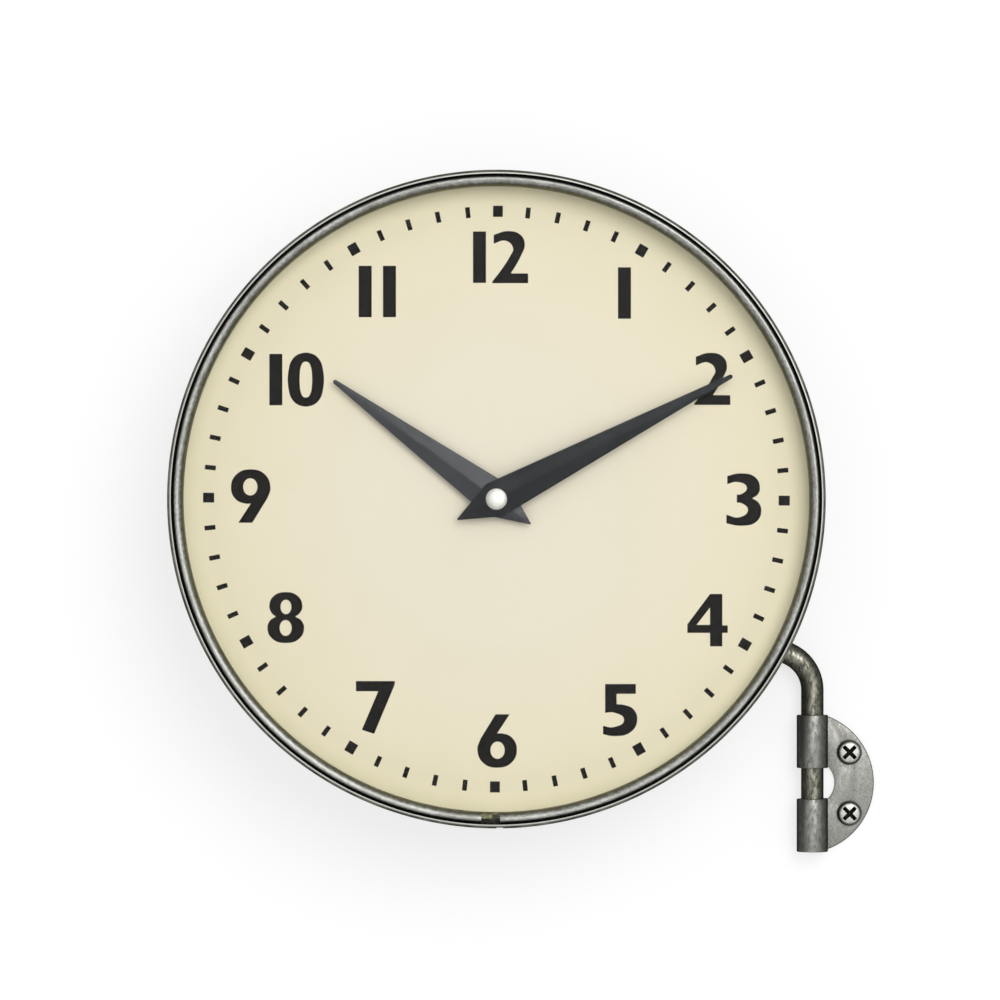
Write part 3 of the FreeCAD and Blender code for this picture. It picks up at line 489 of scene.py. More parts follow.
class Graph:
    """A material's nodes, with one shader at their end."""

    def __init__(self, name: str) -> None:
        """Start a material of that name.

        Args:
            name: The material's name.
        """
        self.material = bpy.data.materials.new(name)
        self.material.use_nodes = True
        self.tree = self.material.node_tree
        self.shader = self.tree.nodes["Principled BSDF"]
        self.output = self.tree.nodes["Material Output"]

    def add(self, kind: str, inputs: dict[int | str, object], **settings: object) -> bpy.types.Node:
        """Add a node.

        Args:
            kind: The node's type, without its ShaderNode prefix.
            inputs: What each input holds, a plain value or another node's output.
            settings: The node's own properties.

        Returns:
            The new node.
        """
        node = self.tree.nodes.new(f"ShaderNode{kind}")
        for key, value in settings.items():
            setattr(node, key, value)
        for key, value in inputs.items():
            self.feed(node.inputs[key], value)
        return node

    def feed(self, socket: Socket, value: object) -> None:
        """Set an input, or link it where the value is another node's output.

        Args:
            socket: The input.
            value: A plain value or another node's output.
        """
        if isinstance(value, Socket):
            self.tree.links.new(value, socket)
        else:
            socket.default_value = value

    def surface(self, **inputs: object) -> None:
        """Set the shader's inputs, each named in words joined by underscores.

        Args:
            inputs: What each input holds.
        """
        for key, value in inputs.items():
            label = " ".join(word if word in ("IOR", "of") else word.capitalize() for word in key.split("_"))
            self.feed(self.shader.inputs[label], value)

    def maths(self, operation: str, *values: object) -> Socket:
        """One arithmetic step."""
        return self.add("Math", dict(enumerate(values)), operation=operation).outputs[0]

    def vectors(self, operation: str, *values: object) -> bpy.types.Node:
        """One step of vector arithmetic."""
        return self.add("VectorMath", dict(enumerate(values)), operation=operation)

    def place(self, centre: Vector = Vector(), stretch: Numbers = (1.0, 1.0, 1.0)) -> Socket:
        """Where a point of the surface is, measured from a centre and stretched along the axes.

        Args:
            centre: Where places are measured from.
            stretch: A factor for each axis.

        Returns:
            The place as a vector.
        """
        here = self.add("TexCoord", {}).outputs["Object"]
        shift = self.vectors("SUBTRACT", here, centre[:]).outputs[0]
        return self.vectors("MULTIPLY", shift, stretch).outputs[0]

    def apart(self, vector: Socket) -> bpy.types.Node:
        """A vector's three parts."""
        return self.add("SeparateXYZ", {0: vector})

    def noise(self, vector: Socket, scale: float, detail: float = 3.0, roughness: float = 0.55) -> Socket:
        """Soft random variation, from 0 to 1, so many to the metre."""
        inputs = {"Vector": vector, "Scale": scale, "Detail": detail, "Roughness": roughness}
        return self.add("TexNoise", inputs).outputs[0]

    def fade(self, value: Socket, low: float, high: float, start: object = 0.0, end: object = 1.0) -> Socket:
        """A value's way from start to end while it goes from low to high."""
        inputs = {0: value, 1: low, 2: high, 3: start, 4: end}
        return self.add("MapRange", inputs, interpolation_type="SMOOTHSTEP").outputs[0]

    def blend(self, share: object, first: object, second: object) -> Socket:
        """Two colours mixed."""
        return self.add("Mix", {0: share, 6: first, 7: second}, data_type="RGBA").outputs[2]

    def weighed(self, share: float, first: Socket, second: Socket) -> Socket:
        """Two values added up, the first by its share and the second by the rest."""
        rest = self.maths("MULTIPLY", second, 1 - share)
        return self.maths("ADD", self.maths("MULTIPLY", first, share), rest)

    def flat_distance(self, x: object, z: object) -> Socket:
        """The length of a way across (x) and up (z)."""
        return self.vectors("LENGTH", self.add("CombineXYZ", {0: x, 1: 0.0, 2: z}).outputs[0]).outputs[1]

    def bump(self, height: Socket, depth: float, strength: float = 1.0) -> Socket:
        """A surface roughened by a height, in metres at its full depth."""
        inputs = {"Height": height, "Distance": depth, "Strength": strength}
        return self.add("Bump", inputs).outputs[0]

    def around(self, along: float, across: float) -> Socket:
        """Places drawn out round the clock's axis, for streaks and turning marks.

        Args:
            along: Marks round a full turn, more or less.
            across: Marks to the metre across.

        Returns:
            The place as a vector.
        """
        parts = self.apart(self.place(CENTRE))
        flat = self.add("CombineXYZ", {0: parts.outputs[0], 1: 0.0, 2: parts.outputs[2]}).outputs[0]
        direction = self.apart(self.vectors("NORMALIZE", flat).outputs[0])
        across_ring = self.maths("ADD", self.axis_distance(), parts.outputs[1])
        return self.add("CombineXYZ", {
            0: self.maths("MULTIPLY", direction.outputs[0], along),
            1: self.maths("MULTIPLY", direction.outputs[2], along),
            2: self.maths("MULTIPLY", across_ring, across)}).outputs[0]

    def axis_distance(self) -> Socket:
        """How far a point is from the axis through the two dials."""
        return self.vectors("LENGTH", self.place(CENTRE, (1.0, 0.0, 1.0))).outputs[1]


class Grain(enum.Enum):
    """Which way the fine marks in a metal run."""

    SPECKLED = "speckled"
    UPRIGHT = "upright"
    ROUND = "round"


@dataclass(frozen=True)
class MiddleLine:
    """The middle line of a round rod: upright, and bent towards -x above a height if it is bent at all."""

    x: float
    bend_radius: float = 1.0
    bend_height: float = 1.0

    def offset(self, graph: Graph) -> Socket:
        """How far a point lies to the right of the line, as the front viewer sees it.

        Args:
            graph: The material's nodes.

        Returns:
            The distance, below zero on the left.
        """
        parts = graph.apart(graph.place(Vector((self.x - self.bend_radius, 0, self.bend_height))))
        rise = graph.maths("MAXIMUM", parts.outputs[2], 0.0)
        return graph.maths("SUBTRACT", graph.flat_distance(parts.outputs[0], rise), self.bend_radius)


@dataclass(frozen=True)
class AgedSteel:
    """Steel under a dark patina that is rubbed bright in blotches, with fine marks along its grain, and
    painted shade inside the drum's wall and lips where a lip is given.
    """

    name: str
    dark: str = "4a4942"
    worn: str = "a3a299"
    wear: float = 0.5
    grain: Grain = Grain.SPECKLED
    marks: float = 1400.0           # fine marks to the metre
    blotches: float = 130.0
    blotch_share: float = 0.55      # against the fine marks
    contrast: float = 0.16
    roughness: Point = (0.34, 0.52)
    relief: float = 0.05 * MM
    edge: str = "6f6e66"            # tint of the grazing reflection
    lip_height: float = 0.0         # from the drum's middle to the lip's bright edge
    lip_tone: str = "c2c2bc"
    lip_rubbed: Point = (0.40 * MM, 0.10 * MM)
    step: float = 0.0               # where the lip begins, and the inner radii of wall and lip, inside which shade is painted
    shoulder: float = 0.0
    wall_inside: float = 0.0
    lip_inside: float = 0.0
    # depth over which the painted shade inside wall and lip grows
    gap_shade_reach: Point = (0.12 * MM, 0.04 * MM)

    def fine_marks(self, graph: Graph) -> Socket:
        """The streaks or speckles of the grain, from 0 to 1.

        Args:
            graph: The material's nodes.

        Returns:
            The marks.
        """
        if self.grain is Grain.ROUND:
            return graph.noise(graph.around(30.0, self.marks), 1.0, 2.0, 0.6)
        stretch = (1.0, 1.0, 0.3) if self.grain is Grain.UPRIGHT else (1.0, 1.0, 1.0)
        return graph.noise(graph.place(CENTRE, stretch), self.marks, 3.0, 0.6)

    def tinted(self, graph: Graph, share: Socket) -> Socket:
        """The colour, from how far the patina is worn off, with the lip's rubbed edge and painted shade on
        the inner side of wall and lip.

        Args:
            graph: The material's nodes.
            share: How far the patina is worn off.

        Returns:
            The colour.
        """
        tint = graph.blend(share, colour(self.dark), colour(self.worn))
        if self.lip_height:
            height = graph.maths("ABSOLUTE", graph.apart(graph.place(CENTRE)).outputs[1])
            start, full = self.lip_rubbed
            rubbed = graph.fade(height, self.lip_height - start, self.lip_height - full)
            tint = graph.blend(rubbed, tint, colour(self.lip_tone))
            # painted shade on the inner side of the drum's wall and lip
            tint = graph.blend(self.within(graph, height), tint, colour(GAP_SHADE))
        return tint

    def within(self, graph: Graph, height: Socket) -> Socket:
        """Whether a point is on the inner side of the drum's wall or of its lip, where shade is painted."""
        limit = graph.fade(height, self.step - self.shoulder, self.step, self.wall_inside, self.lip_inside)
        return graph.fade(graph.maths("SUBTRACT", graph.axis_distance(), limit), *self.gap_shade_reach)

    def make(self) -> bpy.types.Material:
        """Build the material.

        Returns:
            The material.
        """
        graph = Graph(self.name)
        marks = self.fine_marks(graph)
        patches = graph.noise(graph.place(CENTRE, (1.0, 1.0, 0.6)), self.blotches, 4.0, 0.6)
        mixed = graph.weighed(self.blotch_share, patches, marks)
        middle = 0.62 - 0.24 * self.wear
        share = graph.fade(mixed, middle - self.contrast, middle + self.contrast)
        matt = graph.fade(share, 0.0, 1.0, self.roughness[1], self.roughness[0])
        graph.surface(Base_Color=self.tinted(graph, share), Metallic=0.88, Roughness=matt,
                      Specular_Tint=colour(self.edge), Normal=graph.bump(mixed, self.relief, 0.5))
        return graph.material


@dataclass(frozen=True, kw_only=True)
class RodSteelWithPaintedLight(AgedSteel):
    """Aged steel rolled into a rod: a painted highlight down its front, painted shade at its sides, plain on
    its leaf.
    """

    line: MiddleLine
    half_width: float
    # painted shade at the rod's sides and along the leaf's rim
    side: str = "23221d"
    side_shade_reach: Point = (0.30, 0.98)        # of the half width, over which the painted shade at the sides grows
    # how far the painted side shade covers the sides
    side_shade_share: float = 0.75
    # worn share left at the sides, so that a painted highlight runs down the front
    highlight_side_wear: float = 0.3
    leaf: tuple[str, str] | None = None
    leaf_begins: float = 1.04               # of the half width
    leaf_marks: float = 1700.0
    leaf_centre: float = 0.0
    leaf_radius: float = 1.0
    # painted shade along the leaf's rounded rim, over this depth from its edge
    leaf_rim_shade: Point = (0.55 * MM, 0.15 * MM)

    def tinted(self, graph: Graph, share: Socket) -> Socket:
        """The colour, from how far the patina is worn off, with painted shade at the sides and a painted
        highlight along the rod's middle line.

        Args:
            graph: The material's nodes.
            share: How far the patina is worn off.

        Returns:
            The colour.
        """
        offset = self.line.offset(graph)
        near, far = (reach * self.half_width for reach in self.side_shade_reach)
        # painted light: the sides lose their worn bright and fade to the shade tone, leaving a highlight down
        # the front
        side_shade_mask = graph.fade(graph.maths("ABSOLUTE", offset), near, far)
        wear_and_highlight = graph.maths("MULTIPLY", share, graph.fade(side_shade_mask, 0.0, 1.0, 1.0, self.highlight_side_wear))
        tint = graph.blend(wear_and_highlight, colour(self.dark), colour(self.worn))
        tint = graph.blend(graph.maths("MULTIPLY", side_shade_mask, self.side_shade_share), tint, colour(self.side))
        if self.leaf:
            beyond = graph.fade(offset, self.half_width, self.leaf_begins * self.half_width)
            tint = graph.blend(beyond, tint, self.leaf_tint(graph))
        return tint

    def leaf_tint(self, graph: Graph) -> Socket:
        """The colour of the flat leaf, speckled, with painted shade along its rounded rim.

        Args:
            graph: The material's nodes.

        Returns:
            The colour.
        """
        speckle = graph.noise(graph.place(), self.leaf_marks, 3.0, 0.7)
        plain = graph.blend(graph.fade(speckle, 0.35, 0.68), *(colour(tone) for tone in self.leaf))
        flat = graph.place(Vector((self.leaf_centre, 0, 0)), (1.0, 0.0, 1.0))
        start, full = (self.leaf_radius - depth for depth in self.leaf_rim_shade)
        # painted shade along the leaf's rim
        rim = graph.fade(graph.vectors("LENGTH", flat).outputs[1], start, full)
        return graph.blend(rim, plain, colour(self.side))


@dataclass(frozen=True)
class BrushedBead:
    """The bezel's bead: light brushed steel on its crown, with painted olive shade down its inner slope and
    painted shade in the gap at its outer wall.
    """

    name: str
    outer_radius: float
    crown_radius: float
    inner_radius: float
    streaks: Point = (70.0, 2600.0)         # round the ring and across it
    smudges: float = 60.0
    crown: tuple[str, str] = ("7f807a", "c6c6c1")
    smudge: str = "77776d"
    # painted shade: the dark olive tones of the inner slope
    slope: tuple[str, str] = ("4b4a3a", "77765f")
    slope_shade_share: Point = (0.1, 0.6)         # of the way up, where the painted slope shade gives way
    # painted shade in the gap between the bead and the drum's lip
    gap_shade_reach: Point = (0.22 * MM, 0.03 * MM)
    relief: float = 0.03 * MM

    def make(self) -> bpy.types.Material:
        """Build the material.

        Returns:
            The material.
        """
        graph = Graph(self.name)
        streaks = graph.noise(graph.around(*self.streaks), 1.0, 3.0, 0.65)
        smudges = graph.noise(graph.place(CENTRE), self.smudges, 3.0, 0.6)
        light = graph.blend(graph.fade(streaks, 0.25, 0.75), *(colour(tone) for tone in self.crown))
        light = graph.blend(graph.fade(smudges, 0.40, 0.70, 0.0, 0.45), light, colour(self.smudge))
        # painted shade down the inner slope, giving way to the crown's tone by radius
        slope_shade_tone = graph.blend(streaks, *(colour(tone) for tone in self.slope))
        width = self.crown_radius - self.inner_radius
        low, high = (self.inner_radius + share * width for share in self.slope_shade_share)
        tint = graph.blend(graph.fade(graph.axis_distance(), low, high), slope_shade_tone, light)
        # painted shade in the gap at the bead's outer wall
        start, full = (self.outer_radius - depth for depth in self.gap_shade_reach)
        tint = graph.blend(graph.fade(graph.axis_distance(), start, full), tint, colour(GAP_SHADE))
        graph.surface(Base_Color=tint, Metallic=0.95, Roughness=graph.fade(streaks, 0.2, 0.8, 0.34, 0.52),
                      Normal=graph.bump(streaks, self.relief, 0.4))
        return graph.material


@dataclass(frozen=True)
class DialEnamel:
    """Cream enamel, warmer towards the rim and painted paler at the very rim to offset the bezel's shade,
    with the faint unevenness of age.
    """

    name: str
    radius: float
    middle: str = "ebe3cf"
    outer: str = "ece2c5"
    # painted light: paler than the enamel, to offset the shade that the bezel casts on the rim
    rim: str = "faf1cf"
    stain: str = "d8cfa8"
    outer_reach: Point = (0.25, 0.97)       # of the radius
    rim_light_reach: Point = (0.88, 0.975)
    clouds: float = 22.0
    grain: float = 900.0
    waves: float = 140.0
    wave_depth: float = 0.04 * MM
    shine: float = 0.3                      # specular level

    def make(self) -> bpy.types.Material:
        """Build the material.

        Returns:
            The material.
        """
        graph = Graph(self.name)
        reach = graph.maths("DIVIDE", graph.axis_distance(), self.radius)
        tint = graph.blend(graph.fade(reach, *self.outer_reach), colour(self.middle), colour(self.outer))
        # painted light at the rim, against the bezel's shade
        tint = graph.blend(graph.fade(reach, *self.rim_light_reach), tint, colour(self.rim))
        cloud = graph.noise(graph.place(CENTRE), self.clouds, 4.0, 0.6)
        tint = graph.blend(graph.fade(cloud, 0.42, 0.72, 0.0, 0.10), tint, colour(self.stain))
        grain = graph.noise(graph.place(CENTRE), self.grain, 2.0)
        waves = graph.noise(graph.place(CENTRE), self.waves, 2.0)
        graph.surface(Base_Color=tint, Roughness=graph.fade(grain, 0.3, 0.7, 0.40, 0.48),
                      Normal=graph.bump(waves, self.wave_depth, 0.25))
        graph.shader.inputs["Specular IOR Level"].default_value = self.shine
        return graph.material


@dataclass(frozen=True)
class Coating:
    """A paint, ink, moulding or plain metal: two close tones in a fine mottle."""

    name: str
    tone: str
    second: str
    roughness: float = 0.5
    metallic: float = 0.0
    grain: float = 1200.0
    depth: float = 0.02 * MM
    turned: bool = False            # fine rings about the clock's axis in place of the mottle
    stripes: float = 0.0            # windings to the metre along z
    shine: float = 0.5              # specular level
    broad: float = 14.0             # how much coarser the second mottle is

    def make(self) -> bpy.types.Material:
        """Build the material.

        Returns:
            The material.
        """
        graph = Graph(self.name)
        if self.turned:
            fine = graph.noise(graph.around(4.0, self.grain), 1.0, 2.0)
        else:
            fine = graph.noise(graph.place(CENTRE), self.grain, 3.0, 0.6)
        if self.stripes:
            along = graph.apart(graph.place(CENTRE)).outputs[2]
            wound = graph.maths("SINE", graph.maths("MULTIPLY", along, math.tau * self.stripes))
            fine = graph.weighed(0.3, fine, graph.fade(wound, -1.0, 1.0))
        broad = graph.noise(graph.place(CENTRE), self.grain / self.broad, 2.0)
        mottle = graph.weighed(0.6, fine, broad)
        tint = graph.blend(graph.fade(mottle, 0.32, 0.68), colour(self.tone), colour(self.second))
        matt = graph.fade(mottle, 0.3, 0.7, self.roughness - 0.05, self.roughness + 0.05)
        graph.surface(Base_Color=tint, Roughness=matt, Metallic=self.metallic,
                      Normal=graph.bump(fine, self.depth, 0.4))
        graph.shader.inputs["Specular IOR Level"].default_value = self.shine
        return graph.material


@dataclass(frozen=True)
class ScrewZinc:
    """Bright plating on the two wall screws, with painted shade round the head's steep rim and in the cross
    recess.
    """

    name: str
    spacing: float
    top_radius: float
    recess_radius: float
    recess_top: float               # distance from the wall under which shade is painted in the recess
    leaf: float
    bright: tuple[str, str] = ("b2b2ac", "d2d2cd")
    # painted shade round the head's steep rim
    rim: str = "3c3b36"
    # painted shade in the cross recess
    dark: str = "0c0c0a"
    rim_blur: float = 0.25 * MM     # over which one tone gives way to the next
    depth_blur: float = 0.2 * MM
    reach_blur: float = 0.3 * MM
    grain: float = 1100.0
    relief: float = 0.02 * MM

    def make(self) -> bpy.types.Material:
        """Build the material.

        Returns:
            The material.
        """
        graph = Graph(self.name)
        parts = graph.apart(graph.place())
        rise = graph.maths("SUBTRACT", graph.maths("ABSOLUTE", parts.outputs[2]), self.spacing / 2)
        reach = graph.flat_distance(parts.outputs[0], rise)
        fine = graph.noise(graph.place(), self.grain, 3.0, 0.6)
        tint = graph.blend(graph.fade(fine, 0.3, 0.7), *(colour(tone) for tone in self.bright))
        # painted shade round the steep rim and in the recess
        rim = graph.fade(reach, self.top_radius - self.rim_blur, self.top_radius + self.rim_blur, 0.0, 0.9)
        tint = graph.blend(rim, tint, colour(self.rim))
        tint = graph.blend(self.recess(graph, reach, parts.outputs[1]), tint, colour(self.dark))
        graph.surface(Base_Color=tint, Metallic=0.9, Roughness=graph.fade(fine, 0.3, 0.7, 0.36, 0.48),
                      Normal=graph.bump(fine, self.relief, 0.4))
        return graph.material

    def recess(self, graph: Graph, reach: Socket, y: Socket) -> Socket:
        """Whether a point lies in the cross recess, where shade is painted: near the axis, under the top and
        over the leaf.

        Args:
            graph: The material's nodes.
            reach: The point's distance from the screw's axis.
            y: Its place along y.

        Returns:
            1 in the recess and 0 outside it.
        """
        out = graph.maths("MULTIPLY", y, -1.0)
        deep = graph.fade(out, self.recess_top, self.recess_top - self.depth_blur)
        head = graph.fade(out, self.leaf, self.leaf + self.depth_blur)
        within = graph.fade(reach, self.recess_radius + self.reach_blur, self.recess_radius)
        return graph.maths("MULTIPLY", graph.maths("MULTIPLY", deep, head), within)


@dataclass(frozen=True)
class ClearGlass:
    """Thin clear glass that lets the lamps through to the dial."""

    name: str
    tint: str = "fdfefc"
    haze: float = 0.02              # greatest roughness
    bending: float = 1.12           # index of refraction, low so that its two faces mirror little

    def make(self) -> bpy.types.Material:
        """Build the material.

        Returns:
            The material.
        """
        graph = Graph(self.name)
        haze = graph.fade(graph.noise(graph.place(CENTRE), 40.0, 3.0), 0.3, 0.7, 0.0, self.haze)
        graph.surface(Base_Color=colour(self.tint), Roughness=haze, Transmission_Weight=1.0)
        graph.shader.inputs["IOR"].default_value = self.bending
        clear = graph.add("BsdfTransparent", {})
        ray = graph.add("LightPath", {}).outputs
        through = graph.maths("MAXIMUM", ray["Is Shadow Ray"], ray["Is Diffuse Ray"])
        mix = graph.add("MixShader", {0: through, 1: graph.shader.outputs[0], 2: clear.outputs[0]})
        graph.feed(graph.output.inputs["Surface"], mix.outputs[0])
        return graph.material


class Finishes:
    """Every finish of the clock, each made once."""

    def __init__(self) -> None:
        """Make the materials."""
        drum, pin = Drum(), middle_of("knuckle_plug").x
        self.drum = AgedSteel(
            "aged_drum_steel", dark="45443c", worn="84837a", wear=0.45, grain=Grain.ROUND, edge="3a3933",
            lip_height=drum.lip, step=drum.lip - drum.lip_length, shoulder=drum.shoulder,
            wall_inside=drum.radius - drum.sheet, lip_inside=drum.lip_inside).make()
        self.bead = BrushedBead(
            "brushed_bead", Bezel.outer_radius, Bezel.crown_radius, Bezel.inner_radius).make()
        # arm and bracket steel: painted shade at the sides and a painted highlight down the front
        self.arm = RodSteelWithPaintedLight(
            "rubbed_arm_steel", dark="4d4b42", worn="aaa899", wear=0.5, grain=Grain.UPRIGHT, blotches=420.0,
            edge="1e1d18", line=MiddleLine(pin, SwingArm.bend_radius, SwingArm.bend_height),
            half_width=SwingArm.radius).make()
        self.bracket = RodSteelWithPaintedLight(
            "rolled_bracket_steel", dark="6f6f6a", worn="a3a39d", wear=0.55, grain=Grain.UPRIGHT,
            blotches=500.0, edge="2a2925", line=MiddleLine(pin),
            half_width=WallBracket.bore + WallBracket.sheet, leaf=("84847f", "a0a09a"),
            leaf_centre=pin - WallBracket.leaf_centre_back, leaf_radius=WallBracket.leaf_radius).make()
        self.screw = ScrewZinc(
            "zinc_screw", WallScrews.spacing, WallScrews.top_radius, WallScrews.cross_length / 2,
            WallScrews.leaf + WallScrews.head_height - WallScrews.recess_lip, WallScrews.leaf).make()
        self.dark_steel = AgedSteel("dark_sheet_steel", dark="34332d", worn="6a695f", wear=0.35).make()
        self.olive_steel = AgedSteel("olive_seat_steel", dark="56553f", worn="8d8c72", wear=0.5,
                                     grain=Grain.ROUND, marks=1900.0).make()
        self.enamel = DialEnamel("cream_enamel", radius_of("front_dial")).make()
        self.ink = Coating("black_print", "0e0c0b", "161311", 0.55, 0.0, 1500.0, 0.01 * MM, shine=0.12).make()
        # painted light: the hour hand gets a lighter and the minute hand a darker copy of one charcoal paint
        self.hour_hand = Coating("charcoal_hour_lit_copy", "36373a", "444549", 0.32, 0.25, 1600.0, shine=0.2).make()
        self.minute_hand = Coating(
            "charcoal_minute_shaded_copy", "17191b", "242629", 0.32, 0.25, 1600.0, shine=0.2).make()
        self.cap = Coating("satin_cap", "c4c3bf", "dcdbd7", 0.55, 1.0, 2600.0, 0.01 * MM, turned=True).make()
        self.glass = ClearGlass("clear_glass").make()
        self.black_plastic = Coating("black_moulding", "161617", "222223", 0.46, 0.0, 2200.0).make()
        self.white_plastic = Coating("white_nylon", "d9d7cd", "e9e7de", 0.42, 0.0, 1800.0).make()
        self.board = Coating("green_board", "1f4a33", "2b5c40", 0.38, 0.0, 700.0).make()
        self.copper = Coating("copper_winding", "8a4a28", "c47a46", 0.32, 0.9, 1500.0, 0.08 * MM,
                              stripes=5000.0).make()
        self.cell = Coating("cell_wrap", "2e3033", "44474b", 0.30, 0.2, 500.0).make()
        self.plated = Coating("plated_contact", "bfc0bd", "dcdcd8", 0.28, 1.0, 1400.0).make()
        self.rubber = Coating("rubber_washer", "19191a", "262627", 0.75, 0.0, 2500.0, 0.04 * MM).make()
        self.brass = Coating("turned_brass", "a98645", "cfae6a", 0.28, 1.0, 1800.0, turned=True).make()


# ---------------------------------------------------------------- the drum
@dataclass
class Drum:
    """The rolled steel band with its two lips, its seam and its pry slots."""

    sheet: float = 0.9 * MM
    lip_step: float = 1.1 * MM
    lip_length: float = 2.5 * MM
    shoulder: float = 1.5 * MM
    inside_bend: float = 0.5 * MM
    edge_round: float = 0.2 * MM
    outer_edge_round: float = 0.55 * MM
    slot_width: float = 3.2 * MM
    slot_length: float = 7.0 * MM
    slot_offset: float = 1.5 * MM
    seam_width: float = 0.35 * MM
    radius: float = field(default_factory=lambda: radius_of("case_band"))
    lip: float = field(default_factory=lambda: (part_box("case_band")[1].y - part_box("case_band")[0].y) / 2)

    @property
    def lip_inside(self) -> float:
        """The inner radius of the two lips."""
        return self.radius - self.lip_step - self.sheet

    def outside(self, inset: float, wall_bend: float, lip_bend: float, edge: float) -> list[Corner]:
        """The corners from the low lip to the high one, this far in from the drum's outside.

        Args:
            inset: How far in from the outside.
            wall_bend: Radius where the wall turns in.
            lip_bend: Radius where the lip turns out.
            edge: Radius of the lip's edge.

        Returns:
            The corners.
        """
        wall, lip = self.radius - inset, self.radius - self.lip_step - inset
        step = self.lip - self.lip_length
        upper = [(wall, step - self.shoulder, wall_bend), (lip, step, lip_bend), (lip, self.lip, edge)]
        return [(radius, -height, bend) for radius, height, bend in reversed(upper)] + upper

    def slot_cutter(self, way: int) -> bpy.types.Object:
        """The bar that cuts the pry slot behind one lip.

        Args:
            way: 1 for the front lip and -1 for the rear one.

        Returns:
            The new piece.
        """
        step = self.lip - self.lip_length
        centre = (way * self.slot_offset, -self.radius, way * (step - self.slot_length / 2))
        return bar("slot_cutter", centre, (self.slot_width, 4 * self.lip_step, self.slot_length))

    def seam_cutter(self) -> bpy.types.Object:
        """The square bar, turned on edge, whose corner cuts the butt seam at 6 o'clock.

        Returns:
            The new piece.
        """
        cutter = bar("seam_cutter", (0, 0, 0), (self.seam_width, self.seam_width, 2 * self.lip))
        on_edge = Matrix.Rotation(math.radians(45), 4, "Z")
        cutter.data.transform(Matrix.Translation((self.slot_offset, -self.radius, 0)) @ on_edge)
        return cutter

    def build(self, finishes: Finishes) -> bpy.types.Object:
        """Model the band and hand it over.

        Args:
            finishes: The clock's finishes.

        Returns:
            The new piece.
        """
        large, small = self.inside_bend + self.sheet, self.inside_bend
        outer = self.outside(0.0, large, small, self.outer_edge_round)
        inner = self.outside(self.sheet, small, large, self.edge_round)
        band = turned("drum_band", rounded(outer + inner[::-1]))
        cut(band, self.slot_cutter(1), self.slot_cutter(-1), self.seam_cutter())
        band.data.transform(Side.FRONT.placement)
        return hand_over(smooth(band), finishes.drum, "case", "pewter_case", "case_band")


# ---------------------------------------------------------------- the bezel
@dataclass
class Bezel:
    """The sprung ring that holds the glass, with its rounded bead and its two ends near 6 o'clock."""

    side: Side
    outer_radius: float = 147.1 * MM
    crown_radius: float = 145.8 * MM
    inner_radius: float = 142.7 * MM
    foot_radius: float = 148.8 * MM
    foot: float = 1.0 * MM
    crown: float = 36.9 * MM
    inner_edge: float = 33.5 * MM
    split_left: float = -6.8 * MM
    split_right: float = 1.6 * MM
    edge_round: float = 0.12 * MM
    left_end_round: float = 0.18 * MM
    right_end_round: float = 0.75 * MM

    def profile(self) -> list[Point]:
        """The ring's section: foot, outer wall, rounded crown and inner slope.

        Returns:
            The section's points, each a radius and a height.
        """
        glass = heights("glass")[1]
        round_radius = self.outer_radius - self.crown_radius
        base = rounded([
            (self.inner_radius, glass, 0.0), (self.foot_radius, glass, self.edge_round),
            (self.foot_radius, glass + self.foot, self.edge_round),
            (self.outer_radius, glass + self.foot, 0.0)])
        crown = arc((self.crown_radius, self.crown - round_radius), (round_radius, round_radius), 0, 90, 8)
        slope = arc((self.crown_radius, self.inner_edge),
                    (self.crown_radius - self.inner_radius, self.crown - self.inner_edge), 90, 180, 12)
        return base + crown + slope[1:]

    def build(self, finishes: Finishes) -> bpy.types.Object:
        """Model the ring and hand it over.

        Args:
            finishes: The clock's finishes.

        Returns:
            The new piece.
        """
        right = math.degrees(math.asin(self.split_right / self.crown_radius))
        left = math.degrees(math.asin(self.split_left / self.crown_radius))
        ring = turned(self.side.node("bezel_bead"), self.profile(),
                      start=270 + right, sweep=360 - right + left)
        down = Vector((0, -1, 0))
        for angle, size in ((left, self.left_end_round), (right, self.right_end_round)):
            end = Matrix.Rotation(math.radians(angle), 3, "Z") @ down
            normal = Vector((-end.y, end.x, 0))
            with editing(ring):
                pick(ring, lambda place: place.y < 0 and abs(place.dot(normal)) < WELD, Element.FACE)
                bpy.ops.mesh.region_to_loop()
                bpy.ops.mesh.bevel(offset=size, segments=3, clamp_overlap=True)
        ring.data.transform(self.side.placement)
        return hand_over(smooth(ring), finishes.bead, "case", "pewter", self.side.node("bezel_ring"))


